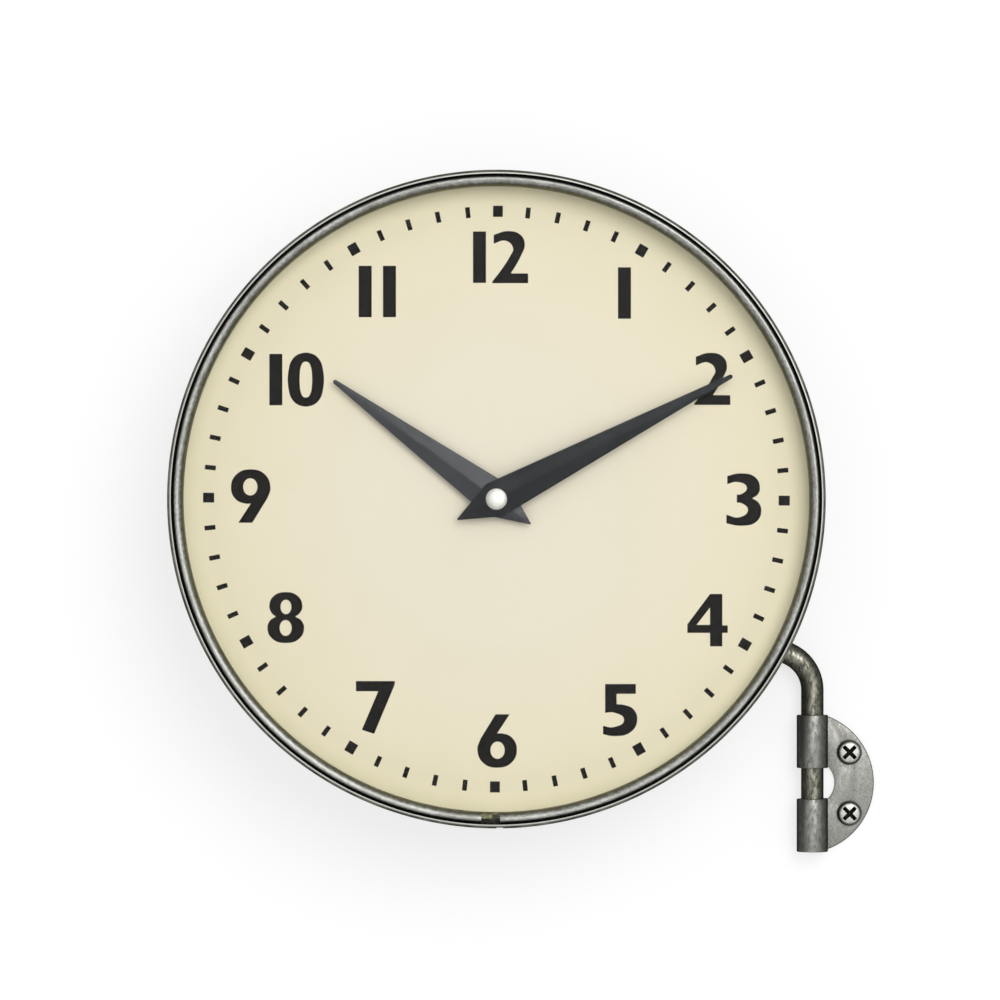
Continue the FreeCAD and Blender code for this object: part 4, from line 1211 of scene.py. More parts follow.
# ---------------------------------------------------------------- the ring under the glass
@dataclass
class SeatRing:
    """The folded ring that stands on the dial and holds the glass off it, with its half-round pry notch."""

    side: Side
    sheet: float = 1.0 * MM
    inner_radius: float = 143.15 * MM
    bend: float = 0.3 * MM
    notch_radius: float = 1.65 * MM
    notch_depth: float = 3.1 * MM
    notch_offset: float = -0.35 * MM
    notch_under: float = 0.3        # of the ring's depth, that the notch cuts below the flange

    def build(self, finishes: Finishes) -> bpy.types.Object:
        """Model the ring and hand it over.

        Args:
            finishes: The clock's finishes.

        Returns:
            The new piece.
        """
        node = self.side.node("seat_ring")
        low, high = heights("seat_ring")
        outer, wall = radius_of(node), self.inner_radius + self.sheet
        large = self.bend + self.sheet
        ring = turned(self.side.node("notched_seat"), rounded([
            (self.inner_radius, low, 0.0), (wall, low, 0.0), (wall, high - self.sheet, self.bend),
            (outer, high - self.sheet, 0.0), (outer, high, 0.0), (self.inner_radius, high, large)]))
        top = -outer + self.notch_depth - self.notch_radius
        depth = high - low
        notch = rod("notch", self.notch_radius, high - self.sheet - self.notch_under * depth, high + depth,
                    at=(self.notch_offset, top))
        mouth = bar("mouth", (self.notch_offset, top - self.notch_depth, high),
                    (2 * self.notch_radius, 2 * self.notch_depth, 4 * self.sheet))
        cut(ring, notch, mouth)
        ring.data.transform(self.side.placement)
        return hand_over(smooth(ring), finishes.olive_steel, "case", "pewter", node)


# ---------------------------------------------------------------- the dial's print
class Turn(enum.Enum):
    """How an outline passes a point."""

    SHARP = "VECTOR"
    ROUND = "AUTO"


class Glyphs:
    """The dial's plain bold figures, in units of which 52 make the height of a figure."""

    HEIGHT = 52.0
    BAR_HALF = 6.5
    GAP = 6.2                       # between two figures of a number
    BAR_GAP = 11.3                  # between two bars

    Outline = list[tuple[float, float, Turn]]

    @staticmethod
    def sharp(*points: Point) -> "Glyphs.Outline":
        """An outline of straight edges."""
        return [(x, y, Turn.SHARP) for x, y in points]

    @staticmethod
    def marked(*points: tuple[float, float, str]) -> "Glyphs.Outline":
        """An outline whose points are marked c for a corner or s for a smooth turn."""
        return [(x, y, Turn.SHARP if mark == "c" else Turn.ROUND) for x, y, mark in points]

    @staticmethod
    def oval(x: float, y: float, half_width: float, half_height: float,
             square: float = 2.0) -> "Glyphs.Outline":
        """An oval, an ellipse where square is 2 and fuller in its shoulders above that.

        Args:
            x: Where its middle lies across.
            y: Where its middle lies up.
            half_width: Half its width.
            half_height: Half its height.
            square: How full its shoulders are.

        Returns:
            The outline.
        """
        points = 12
        turns = [math.tau * (place + 0.5) / points for place in range(points)]
        reach = [(math.cos(turn), math.sin(turn)) for turn in turns]
        full = [[math.copysign(abs(part) ** (2 / square), part) for part in pair] for pair in reach]
        return [(x + half_width * across, y + half_height * up, Turn.ROUND) for across, up in full]

    def one(self) -> list[Outline]:
        """A plain upright bar."""
        x, y = self.BAR_HALF, self.HEIGHT / 2 - 0.3
        return [self.sharp((-x, -y), (-x, y), (x, y), (x, -y))]

    def two(self) -> list[Outline]:
        """The figure 2.

        Returns:
            Its outline.
        """
        return [self.marked(
            (-16.7, 22.3, "c"), (-16.7, 13.5, "c"), (-4.6, 16.4, "s"), (2.7, 8.8, "s"), (-0.4, 0.9, "s"),
            (-7.2, -10.0, "s"), (-18.2, -24.5, "c"), (-18.2, -26.0, "c"), (17.8, -26.0, "c"),
            (17.7, -16.3, "c"), (0.4, -16.2, "c"), (5.8, -7.7, "s"), (10.4, 1.0, "s"), (14.4, 13.0, "s"),
            (10.2, 22.3, "s"), (-2.7, 26.1, "s"))]

    def three(self) -> list[Outline]:
        """The figure 3.

        Returns:
            Its outline.
        """
        return [self.marked(
            (-16.5, 23.6, "c"), (-16.5, 15.4, "c"), (-6.7, 17.6, "s"), (3.0, 12.0, "s"), (-2.6, 5.4, "s"),
            (-7.0, 5.0, "c"), (-7.0, -3.1, "c"), (-2.6, -3.5, "s"), (4.1, -10.5, "s"), (-4.7, -17.8, "s"),
            (-17.4, -15.1, "c"), (-17.4, -23.8, "c"), (-2.7, -26.2, "s"), (12.4, -22.3, "s"),
            (17.5, -12.0, "s"), (15.0, -3.4, "s"), (8.5, 1.3, "c"), (14.0, 5.2, "s"), (16.1, 12.5, "s"),
            (11.4, 22.3, "s"), (-2.7, 26.2, "s"))]

    def four(self) -> list[Outline]:
        """The figure 4.

        Returns:
            Its outlines.
        """
        outer = self.sharp((2.5, 26.2), (14.8, 26.2), (14.8, -5.2), (20.2, -5.2), (20.2, -12.7),
                           (14.8, -12.7), (14.8, -26.2), (2.5, -26.2), (2.5, -12.7), (-20.2, -12.7),
                           (-20.2, -4.2))
        return [outer, self.sharp((2.5, 12.7), (2.5, -4.7), (-11.0, -4.7))]

    def five(self) -> list[Outline]:
        """The figure 5.

        Returns:
            Its outline.
        """
        return [self.marked(
            (-15.0, 26.2, "c"), (15.7, 26.2, "c"), (15.7, 16.4, "c"), (-3.5, 16.4, "c"), (-3.5, 6.0, "c"),
            (3.9, 5.3, "s"), (13.4, 0.9, "s"), (17.1, -10.3, "s"), (10.4, -22.0, "s"), (-6.1, -25.9, "s"),
            (-17.1, -24.0, "c"), (-17.1, -15.6, "c"),
            (-7.1, -17.0, "s"), (3.9, -9.8, "s"), (-6.1, -2.4, "s"), (-15.0, -2.6, "c"))]

    def six(self) -> list[Outline]:
        """The figure 6, with its straight back.

        Returns:
            Its outlines.
        """
        outer = self.marked((-1.5, 26.7, "c"), (12.5, 26.7, "c"), (0.0, 7.5, "c"), (5.0, 7.6, "s"),
                            (15.2, 3.1, "s"), (19.8, -9.2, "s"), (14.2, -21.8, "s"), (0.3, -26.7, "s"),
                            (-14.0, -21.8, "s"), (-19.7, -8.4, "s"), (-16.6, 2.2, "c"))
        return [outer, self.oval(0.5, -9.2, 7.1, 8.6)]

    def seven(self) -> list[Outline]:
        """The figure 7."""
        return [self.sharp((-19.2, 26.3), (19.8, 26.3), (19.6, 22.8), (-1.0, -26.5), (-13.3, -22.5),
                           (3.1, 16.1), (-19.2, 16.1))]

    def eight(self) -> list[Outline]:
        """The figure 8.

        Returns:
            Its outlines.
        """
        outer = self.marked(
            (-0.1, 25.4, "s"), (12.0, 21.6, "s"), (16.6, 12.2, "s"), (14.4, 5.0, "s"), (9.6, 0.9, "c"),
            (15.8, -3.2, "s"), (18.3, -11.2, "s"), (13.3, -21.3, "s"), (-0.1, -25.4, "s"),
            (-13.3, -21.3, "s"),
            (-18.3, -11.2, "s"), (-15.9, -3.2, "s"), (-10.0, 0.9, "c"), (-14.4, 5.0, "s"), (-16.4, 12.2, "s"),
            (-12.0, 21.6, "s"))
        return [outer, self.oval(0.2, 10.6, 5.4, 7.2), self.oval(-0.1, -10.4, 6.0, 7.9)]

    def nine(self) -> list[Outline]:
        """The figure 6, turned half round."""
        return [[(-x, -y, turn) for x, y, turn in outline] for outline in self.six()]

    def zero(self) -> list[Outline]:
        """The narrow figure 0."""
        return [self.oval(0.0, 0.0, 17.8, 26.6, 2.5), self.oval(0.0, 0.0, 6.2, 17.9, 2.5)]

    def of(self, figure: str) -> list[Outline]:
        """The outlines of one figure.

        Args:
            figure: The figure, 0 to 9.

        Returns:
            Its outlines.
        """
        makers = (self.zero, self.one, self.two, self.three, self.four, self.five, self.six, self.seven,
                  self.eight, self.nine)
        return makers[int(figure)]()

    def half_width(self, figure: str) -> float:
        """Half the width of a figure's box."""
        return max(abs(x) for outline in self.of(figure) for x, _, _ in outline)


@dataclass(frozen=True)
class Number:
    """One of the dial's numbers and where its middle lies, in millimetres from the dial's centre."""

    text: str
    x: float
    y: float


NUMBERS = (
    Number("12", 2.0, 110.7), Number("1", 58.6, 94.3), Number("2", 98.9, 55.0), Number("3", 113.2, -0.2),
    Number("4", 96.6, -55.4), Number("5", 56.6, -96.6), Number("6", 0.3, -110.7), Number("7", -55.5, -95.3),
    Number("8", -96.4, -54.2), Number("9", -112.4, 1.4), Number("10", -91.6, 54.7), Number("11", -54.5, 95.0),
)


@dataclass
class DialPrint:
    """The printed numbers and the minute track of one face."""

    side: Side
    unit: float = 0.4576 * MM       # of the figures' outlines
    ink: float = 0.02 * MM
    track_radius: float = 131.7 * MM
    track_turn: float = 0.3         # degrees clockwise of true
    hour_mark: Point = (4.5 * MM, 5.1 * MM)
    minute_mark: Point = (2.15 * MM, 5.0 * MM)
    minutes: int = 60
    minutes_to_hour: int = 5

    def figure(self, outlines: list[Glyphs.Outline], name: str) -> bpy.types.Object:
        """One figure as a thin flat mesh, its middle at the dial's centre.

        Args:
            outlines: The figure's outlines.
            name: The piece's name.

        Returns:
            The new piece.
        """
        curve = bpy.data.curves.new(name, "CURVE")
        curve.dimensions = "2D"
        curve.fill_mode = "BOTH"
        curve.resolution_u = 10
        curve.extrude = self.ink / 2
        for outline in outlines:
            spline = curve.splines.new("BEZIER")
            spline.bezier_points.add(len(outline) - 1)
            spline.use_cyclic_u = True
            for knot, (x, y, turn) in zip(spline.bezier_points, outline):
                knot.co = (x * self.unit, y * self.unit, 0)
                knot.handle_left_type = knot.handle_right_type = turn.value
        piece = bpy.data.objects.new(name, curve)
        bpy.context.scene.collection.objects.link(piece)
        select_only(piece)
        bpy.ops.object.convert(target="MESH")
        return bpy.context.active_object

    def number(self, number: Number) -> list[bpy.types.Object]:
        """The figures of one number, side by side about its middle.

        Args:
            number: The number and its place.

        Returns:
            The figures, in place.
        """
        glyphs = Glyphs()
        halves = [glyphs.half_width(figure) for figure in number.text]
        places = [0.0]
        for (left, right), pair in zip(zip(halves, halves[1:]), zip(number.text, number.text[1:])):
            gap = glyphs.BAR_GAP if pair == ("1", "1") else glyphs.GAP
            places.append(places[-1] + left + gap + right)
        shift = (places[0] - halves[0] + places[-1] + halves[-1]) / 2
        pieces = []
        for place, figure in zip(places, number.text):
            piece = self.figure(glyphs.of(figure), f"figure_{number.text}_{figure}")
            middle = Vector((number.x * MM + (place - shift) * self.unit, number.y * MM, 0))
            piece.data.transform(Matrix.Translation(middle))
            pieces.append(piece)
        return pieces

    def mark(self, size: Point, name: str) -> bpy.types.Object:
        """A mark of the track, at 12 o'clock.

        Args:
            size: Its width and its length.
            name: The piece's name.

        Returns:
            The new piece.
        """
        select_only()
        bpy.ops.mesh.primitive_plane_add(size=1, location=(0, self.track_radius, -self.ink / 2))
        piece = bpy.context.active_object
        piece.scale = (size[0], size[1], 1)
        named(name)
        with editing(piece):
            bpy.ops.mesh.select_all(action="SELECT")
            bpy.ops.mesh.extrude_region_move(TRANSFORM_OT_translate={"value": (0, 0, self.ink)})
            clean_up()
        return piece

    def track(self) -> list[bpy.types.Object]:
        """The sixty marks round the dial.

        Returns:
            The marks, in place.
        """
        patterns = [self.mark(self.hour_mark, "hour_mark"), self.mark(self.minute_mark, "minute_mark")]
        marks = []
        for minute in range(self.minutes):
            pattern = patterns[0] if minute % self.minutes_to_hour == 0 else patterns[1]
            turn = -math.radians(360 * minute / self.minutes + self.track_turn)
            marks.append(copied(pattern, f"mark_{minute}", Matrix.Rotation(turn, 4, "Z")))
        for pattern in patterns:
            bpy.data.objects.remove(pattern, do_unlink=True)
        return marks

    def build(self, finishes: Finishes) -> None:
        """Print the numbers and the track on the dial and hand them over.

        Args:
            finishes: The clock's finishes.
        """
        lift = Matrix.Translation((0, 0, heights("dial")[1] + self.ink / 2))
        numbers = joined(self.side.node("numbers"), [piece for n in NUMBERS for piece in self.number(n)])
        track = joined(self.side.node("minute_track"), self.track())
        for piece in (numbers, track):
            with editing(piece):
                clean_up()
            piece.data.transform(self.side.placement @ lift)
            hand_over(piece, finishes.ink, "case", "dial")


# ---------------------------------------------------------------- the hands
@dataclass
class Hand:
    """A dauphine hand along +y: four facets that rise from its edge to a ridge."""

    name: str
    length: float
    tail: float
    half_width: float
    angle: float                    # clockwise from 12, in degrees
    base: float                     # height of its back in the face's frame
    hole: float                     # radius of the bore on its axis
    seat: float = 0.0               # radius of the flat under the cap, if it has one
    seat_height: float = 0.7 * MM
    widest_back: float = 1.0 * MM
    edge: float = 0.4 * MM
    crest: float = 1.3 * MM
    tip_radius: float = 1.0 * MM
    tail_radius: float = 0.4 * MM
    corner_radius: float = 0.12 * MM
    edge_round: float = 0.1 * MM
    round_steps: int = 16           # of the tip and the tail
    corner_steps: int = 8
    flat_within: float = math.radians(1)
    square_within: float = math.radians(40)

    def point(self, steps: int, radius: float, x: float, y: float, z: float) -> None:
        """Add a small ring to the mesh in edit mode."""
        bpy.ops.mesh.primitive_circle_add(vertices=steps, radius=radius, location=(x, y, z))

    def kite(self, side: Side) -> bpy.types.Object:
        """The faceted solid, as the hull of its rounded points, two edges and one crest.

        Args:
            side: The face that it is for.

        Returns:
            The new piece.
        """
        tiny, corner = self.corner_radius / 4, self.half_width - self.corner_radius
        rings = [(self.round_steps, self.tip_radius, 0.0, self.length - self.tip_radius),
                 (self.round_steps, self.tail_radius, 0.0, self.tail_radius - self.tail),
                 (self.corner_steps, self.corner_radius, corner, -self.widest_back),
                 (self.corner_steps, self.corner_radius, -corner, -self.widest_back)]
        select_only()
        self.point(*rings[0], 0.0)
        piece = named(side.node(self.name))
        with editing(piece):
            for ring in rings:
                for height in (0.0, self.edge):
                    self.point(*ring, height)
            self.point(4, tiny, 0.0, -self.widest_back, self.crest - tiny)
            bpy.ops.mesh.select_all(action="SELECT")
            bpy.ops.mesh.convex_hull(delete_unused=True, join_triangles=True, face_threshold=self.flat_within,
                                     shape_threshold=self.square_within)
            clean_up()
        return piece

    def build(self, side: Side, finishes: Finishes, body: str, node: str) -> bpy.types.Object:
        """Model the hand, bore it, turn it to its time and hand it over.

        Args:
            side: The face that it is for.
            finishes: The clock's finishes.
            body: The body it rides on.
            node: The CAD node that it stands for.

        Returns:
            The new piece.
        """
        hand = self.kite(side)
        cut(hand, rod("bore", self.hole, -self.crest, 2 * self.crest))
        if self.seat:
            cut(hand, rod("seat", self.seat, self.seat_height, 2 * self.crest))
        softened(hand, self.edge_round)
        turn = Matrix.Rotation(-math.radians(self.angle), 4, "Z")
        hand.data.transform(side.placement @ turn @ Matrix.Translation((0, 0, self.base)))
        # the lit and the shaded copy of the hands' charcoal paint
        finish = finishes.minute_hand if self.seat else finishes.hour_hand
        return hand_over(smooth(hand, FACET_UNDER), finish, body, "hand", node)


@dataclass
class HandSet:
    """The two hands of one face and the cap that holds them."""

    side: Side
    cap_radius: float = 4.85 * MM
    cap_side: float = 0.9 * MM
    cap_steps: int = 96
    cap_bulge: float = 0.8          # of its height over the side
    cap_step: float = 0.12 * MM
    cap_ledge: float = 0.75 * MM    # from the side in to the step
    cap_edge: float = 0.25 * MM
    cap_shoulder: float = 0.55 * MM
    cap_foot: float = 0.1 * MM
    cap_top: float = 0.5 * MM       # left over the bore
    arbor_radius: float = 1.4 * MM

    def hands(self) -> list[tuple[Hand, str, str]]:
        """The hands, each with its body and its node.

        Returns:
            The hour hand's and the minute hand's.
        """
        hour = Hand("hour_kite", length=92.0 * MM, tail=19.4 * MM, half_width=8.6 * MM, angle=306.0,
                    base=heights("hour_hand")[0], hole=2.52 * MM)
        minute = Hand("minute_kite", length=121.6 * MM, tail=20.2 * MM, half_width=8.35 * MM, angle=62.4,
                      base=heights("minute_hand")[0], hole=1.42 * MM, seat=5.8 * MM)
        return [(hour, "hour", "hour_hand"), (minute, "minute", "minute_hand")]

    def cap(self, finishes: Finishes) -> bpy.types.Object:
        """The domed cap, with a fine step turned round its edge.

        Args:
            finishes: The clock's finishes.

        Returns:
            The new piece.
        """
        low, high = heights("hand_cap")
        bulge = (high - low - self.cap_side) * self.cap_bulge
        step, flat = self.cap_step, self.cap_radius - self.cap_ledge
        crown = arc((0.0, high - bulge), (flat, bulge), 90, 0, 9)
        rim, roof = high - bulge, high - self.cap_top
        profile = crown + [(flat + step / 2, rim - step), (flat + 2 * step, rim - step),
                           (self.cap_radius - self.cap_edge, rim - self.cap_edge),
                           (self.cap_radius, rim - self.cap_shoulder), (self.cap_radius, low + self.cap_foot),
                           (self.cap_radius - self.cap_foot, low), (self.arbor_radius, low),
                           (self.arbor_radius, roof), (0.0, roof)]
        piece = turned(self.side.node("cap_nut"), profile, self.cap_steps, closed=False)
        piece.data.transform(self.side.placement)
        return hand_over(smooth(piece), finishes.cap, self.side.node("minute"), "cap",
                         self.side.node("hand_cap"))

    def build(self, finishes: Finishes) -> None:
        """Model both hands and the cap.

        Args:
            finishes: The clock's finishes.
        """
        for hand, body, node in self.hands():
            hand.build(self.side, finishes, self.side.node(body), self.side.node(node))
        self.cap(finishes)


# ---------------------------------------------------------------- the swing arm
@dataclass
class SwingArm:
    """The round arm: hinge pin, one bend, and a short end that meets the drum."""

    radius: float = 5.25 * MM
    bend_radius: float = 18.5 * MM
    bend_height: float = 43.5 * MM
    bend_angle: float = 62.11
    stub: float = 5.745 * MM
    into_drum: float = 2.0 * MM
    chamfer: float = 1.0 * MM
    bend_steps: int = 28

    def build(self, finishes: Finishes, drum: Drum) -> bpy.types.Object:
        """Model the arm, cope its end to the drum and hand it over.

        Args:
            finishes: The clock's finishes.
            drum: The drum that the arm's end is cut to.

        Returns:
            The new piece.
        """
        low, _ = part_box("swing_arm")
        knuckle = middle_of("knuckle_plug")
        foot = Vector((knuckle.x, knuckle.y, low.z))
        select_only()
        bpy.ops.mesh.primitive_circle_add(vertices=ROD_STEPS, radius=self.radius - self.chamfer,
                                          fill_type="NGON", location=foot)
        arm = named("bent_arm")
        bend_centre = Vector((foot.x - self.bend_radius, foot.y, self.bend_height))
        turn = math.radians(self.bend_angle)
        onward = Vector((-math.sin(turn), 0, math.cos(turn)))
        with editing(arm):
            bpy.ops.mesh.select_all(action="SELECT")
            bpy.ops.mesh.extrude_region_move(TRANSFORM_OT_translate={"value": (0, 0, self.chamfer)})
            share = self.radius / (self.radius - self.chamfer)
            bpy.ops.transform.resize(value=(share, share, 1), center_override=foot)
            rise = self.bend_height - foot.z - self.chamfer
            bpy.ops.mesh.extrude_region_move(TRANSFORM_OT_translate={"value": (0, 0, rise)})
            bpy.ops.mesh.spin(steps=self.bend_steps, angle=turn, center=bend_centre, axis=(0, 1, 0))
            reach = onward * (self.stub + self.into_drum)
            bpy.ops.mesh.extrude_region_move(TRANSFORM_OT_translate={"value": reach})
            clean_up()
        envelope = turned("drum_envelope", self.envelope(drum), closed=False)
        envelope.data.transform(Side.FRONT.placement)
        combined(arm, envelope, "DIFFERENCE")
        return hand_over(smooth(arm), finishes.arm, "case", "bracket_steel", "swing_arm")

    def envelope(self, drum: Drum) -> list[Point]:
        """The drum's outside as a profile closed on the axis, which the arm's end is cut by.

        Args:
            drum: The drum.

        Returns:
            The profile's points, each a radius and a height.
        """
        outer = drum.outside(0.0, drum.inside_bend + drum.sheet, drum.inside_bend, 0.0)
        return rounded([(0.0, -drum.lip, 0.0), *outer, (0.0, drum.lip, 0.0)])


# ---------------------------------------------------------------- the wall bracket
@dataclass
class WallBracket:
    """The half-moon leaf and the two knuckles rolled from its inner edge."""

    sheet: float = 2.0 * MM
    leaf_radius: float = 33.2 * MM
    leaf_centre_back: float = 4.1 * MM
    relief_radius: float = 10.7 * MM
    span: float = 63.8 * MM
    space: float = 14.5 * MM
    bore: float = 5.31 * MM
    slit: float = 0.3 * MM
    slit_bite: float = 0.02 * MM    # into the leaf
    hole: float = 2.5 * MM
    screw_spacing: float = 28.6 * MM
    edge_round: float = 0.35 * MM
    leaf_short: float = 0.05 * MM   # of the knuckles' ends
    leaf_steps: int = 160
    knuckle_steps: int = 96
    hole_steps: int = 32

    def upright(self, piece: bpy.types.Object) -> bpy.types.Object:
        """Stand a piece that was modelled flat against the wall, its z towards the room."""
        piece.data.transform(Matrix.Rotation(math.radians(90), 4, "X"))
        return piece

    def leaf(self, pin: Vector) -> bpy.types.Object:
        """The leaf with its relief and its two screw holes.

        Args:
            pin: The middle of the hinge.

        Returns:
            The new piece.
        """
        select_only()
        bpy.ops.mesh.primitive_circle_add(vertices=self.leaf_steps, radius=self.leaf_radius, fill_type="NGON",
                                          location=(pin.x - self.leaf_centre_back, 0, 0))
        leaf = named("half_moon_leaf")
        half = self.span / 2 - self.leaf_short
        with editing(leaf):
            for place, normal in (((pin.x, 0, 0), (-1, 0, 0)), ((0, half, 0), (0, 1, 0)),
                                  ((0, -half, 0), (0, -1, 0))):
                bpy.ops.mesh.select_all(action="SELECT")
                bpy.ops.mesh.bisect(plane_co=place, plane_no=normal, use_fill=False, clear_outer=True)
            bpy.ops.mesh.select_all(action="SELECT")
            bpy.ops.mesh.extrude_region_move(TRANSFORM_OT_translate={"value": (0, 0, self.sheet)})
            clean_up()
        relief = rod("relief", self.relief_radius, -self.sheet, 2 * self.sheet, at=(pin.x, 0))
        slab = bar("slab", (pin.x, 0, self.sheet / 2), (4 * self.relief_radius, self.space, 4 * self.sheet))
        combined(relief, slab, "INTERSECT")
        half_spacing = self.screw_spacing / 2
        holes = [rod("hole", self.hole, -self.sheet, 2 * self.sheet, self.hole_steps, (0, place))
                 for place in (half_spacing, -half_spacing)]
        cut(leaf, relief, *holes)
        softened(leaf, self.edge_round, 50.0, 3)
        return self.upright(leaf)

    def knuckle(self, pin: Vector, low: float, high: float) -> bpy.types.Object:
        """One knuckle before it is bored.

        Args:
            pin: The middle of the hinge.
            low: Its lower end.
            high: Its upper end.

        Returns:
            The new piece.
        """
        outer, size = self.bore + self.sheet, self.edge_round
        profile = rounded([(0.0, low, 0.0), (outer, low, size), (outer, high, size), (0.0, high, 0.0)])
        knuckle = turned("knuckle", profile, self.knuckle_steps, closed=False)
        half_step = Matrix.Rotation(math.pi / self.knuckle_steps, 4, "Z")
        knuckle.data.transform(Matrix.Translation((pin.x, pin.y, 0)) @ half_step)
        return knuckle

    def roll(self, bracket: bpy.types.Object, pin: Vector, low: float, high: float) -> None:
        """Roll one knuckle on the leaf, with its bore and the slit where its sheet meets the leaf.

        Args:
            bracket: The leaf, with what is rolled on it so far.
            pin: The middle of the hinge.
            low: The knuckle's lower end.
            high: Its upper end.
        """
        combined(bracket, self.knuckle(pin, low, high), "UNION")
        middle, length = (low + high) / 2, high - low + MM
        bore = rod("bore", self.bore, middle - length / 2, middle + length / 2, self.knuckle_steps,
                   (pin.x, pin.y))
        reach = self.bore + self.sheet
        place = (pin.x + reach / 2, -self.sheet - self.slit / 2 + self.slit_bite, middle)
        slit = bar("slit", place, (reach, self.slit, length))
        cut(bracket, bore, slit)

    def build(self, finishes: Finishes) -> bpy.types.Object:
        """Model the bracket and hand it over.

        Args:
            finishes: The clock's finishes.

        Returns:
            The new piece.
        """
        pin = middle_of("knuckle_plug")
        bracket = self.leaf(pin)
        outer, inner = self.span / 2, self.space / 2
        for low, high in ((-outer, -inner), (inner, outer)):
            self.roll(bracket, pin, low, high)
        bracket.name = bracket.data.name = "rolled_bracket"
        with editing(bracket):
            bpy.ops.mesh.select_all(action="SELECT")
            bpy.ops.mesh.dissolve_degenerate(threshold=5 * WELD)
            clean_up()
        return hand_over(smooth(bracket), finishes.bracket, "bracket", "bracket_steel", "wall_bracket")


@dataclass
class WallScrews:
    """The two pan-head screws with their cross recess, plain neck and thread."""

    head_radius: float = 5.85 * MM
    top_radius: float = 4.75 * MM
    top_edge: float = 2.65 * MM
    head_height: float = 3.2 * MM
    cross_length: float = 8.8 * MM
    cross_width: float = 2.0 * MM
    cross_depth: float = 2.3 * MM
    recess_lip: float = 0.42 * MM   # below the top, where the painted shade in the recess begins
    neck: float = 2.35 * MM
    core: float = 1.55 * MM
    thread: float = 2.2 * MM
    pitch: float = 1.8 * MM
    flanks: Numbers = (0.4, 0.5, 0.9)       # of the pitch: the thread's crest and its foot
    length: float = 30.0 * MM
    point: float = 5.0 * MM
    point_bands: int = 12
    point_left: float = 0.04                # of the width, at the very point
    point_curve: float = 1.3
    leaf: float = 2.0 * MM
    spacing: float = 28.6 * MM
    shoulder: float = 0.5 * MM
    seat_bevel: float = 0.15 * MM
    neck_end: float = 0.4 * MM
    cross_taper: float = 0.6
    clear: float = 0.3 * MM
    edge_round: float = 0.12 * MM
    thread_steps: int = 24

    def head(self) -> bpy.types.Object:
        """Head and neck, its seat at z = 0, turned and then cut for the driver.

        Returns:
            The new piece.
        """
        dome = arc((0.0, self.top_edge), (self.top_radius, self.head_height - self.top_edge), 90, 25, 7)
        inward, end = self.top_radius - self.shoulder, -self.leaf - self.neck_end
        radii = (self.head_radius - inward, self.top_edge - self.shoulder)
        steep = arc((inward, self.shoulder), radii, 62, 0, 6)
        profile = dome + steep + [(self.head_radius - self.seat_bevel, 0.0), (self.neck, 0.0),
                                  (self.neck, -self.leaf), (self.core, end), (0.0, end)]
        head = turned("screw_head", profile, ROD_STEPS, closed=False)
        middle = self.head_height + (self.clear - self.cross_depth) / 2
        size = (self.cross_length, self.cross_width, self.cross_depth + self.clear)
        for turn in (45, 135):
            wing = bar("wing", (0, 0, middle), size, self.cross_taper)
            wing.data.transform(Matrix.Rotation(math.radians(turn), 4, "Z"))
            cut(head, wing)
        return softened(head, self.edge_round, 50.0)

    def threaded_shank(self) -> bpy.types.Object:
        """The helical thread behind the leaf, drawn to a point.

        Returns:
            The new piece.
        """
        rise, (crest, crest_end, foot) = self.pitch, (share * self.pitch for share in self.flanks)
        profile = [(self.core, 0.0), (self.thread, crest), (self.thread, crest_end), (self.core, foot),
                   (self.core, rise)]
        corners = [Vector((radius, 0, height)) for radius, height in profile]
        shank = drawn("screw_shank", corners, closed=False)
        turns = int(self.length / rise) - 1
        finished(shank, "SCREW", angle=math.tau, screw_offset=rise, iterations=turns, axis="Z",
                 steps=self.thread_steps, render_steps=self.thread_steps, use_merge_vertices=True,
                 merge_threshold=WELD)
        top = (turns + 1) * rise
        with editing(shank):
            clean_up()
            self.draw_to_a_point(shank)
            bpy.ops.mesh.select_mode(type=Element.EDGE.value)
            bpy.ops.mesh.select_all(action="DESELECT")
            bpy.ops.mesh.select_non_manifold()
            bpy.ops.mesh.edge_face_add()
            clean_up()
        fit = Matrix.Diagonal((1, 1, self.length / top, 1))
        shank.data.transform(Matrix.Translation((0, 0, -self.leaf - self.length)) @ fit)
        return shank

    def draw_to_a_point(self, shank: bpy.types.Object) -> None:
        """Narrow the thread's first turns, band by band, in edit mode.

        Args:
            shank: The thread, its point at z = 0.
        """
        depth = self.point / self.point_bands
        for band in range(self.point_bands):
            low, high = depth * band, depth * (band + 1)
            pick(shank, lambda place: low <= place.z < high)
            share = 1 - band / self.point_bands
            size = 1 - (1 - self.point_left) * share ** self.point_curve
            bpy.ops.transform.resize(value=(size, size, 1), center_override=(0, 0, 0))

    def build(self, finishes: Finishes) -> bpy.types.Object:
        """Model one screw, set it twice and hand the pair over.

        Args:
            finishes: The clock's finishes.

        Returns:
            The new piece.
        """
        pattern = joined("screw", [self.head(), self.threaded_shank()])
        upright = Matrix.Rotation(math.radians(90), 4, "X")
        screws = []
        for height in (self.spacing / 2, -self.spacing / 2):
            place = Matrix.Translation((0, -self.leaf, height)) @ upright
            screws.append(copied(pattern, "set_screw", place))
        bpy.data.objects.remove(pattern, do_unlink=True)
        pair = joined("cross_head_screws", screws)
        return hand_over(smooth(pair), finishes.screw, "bracket", "screw_steel", "wall_screws")


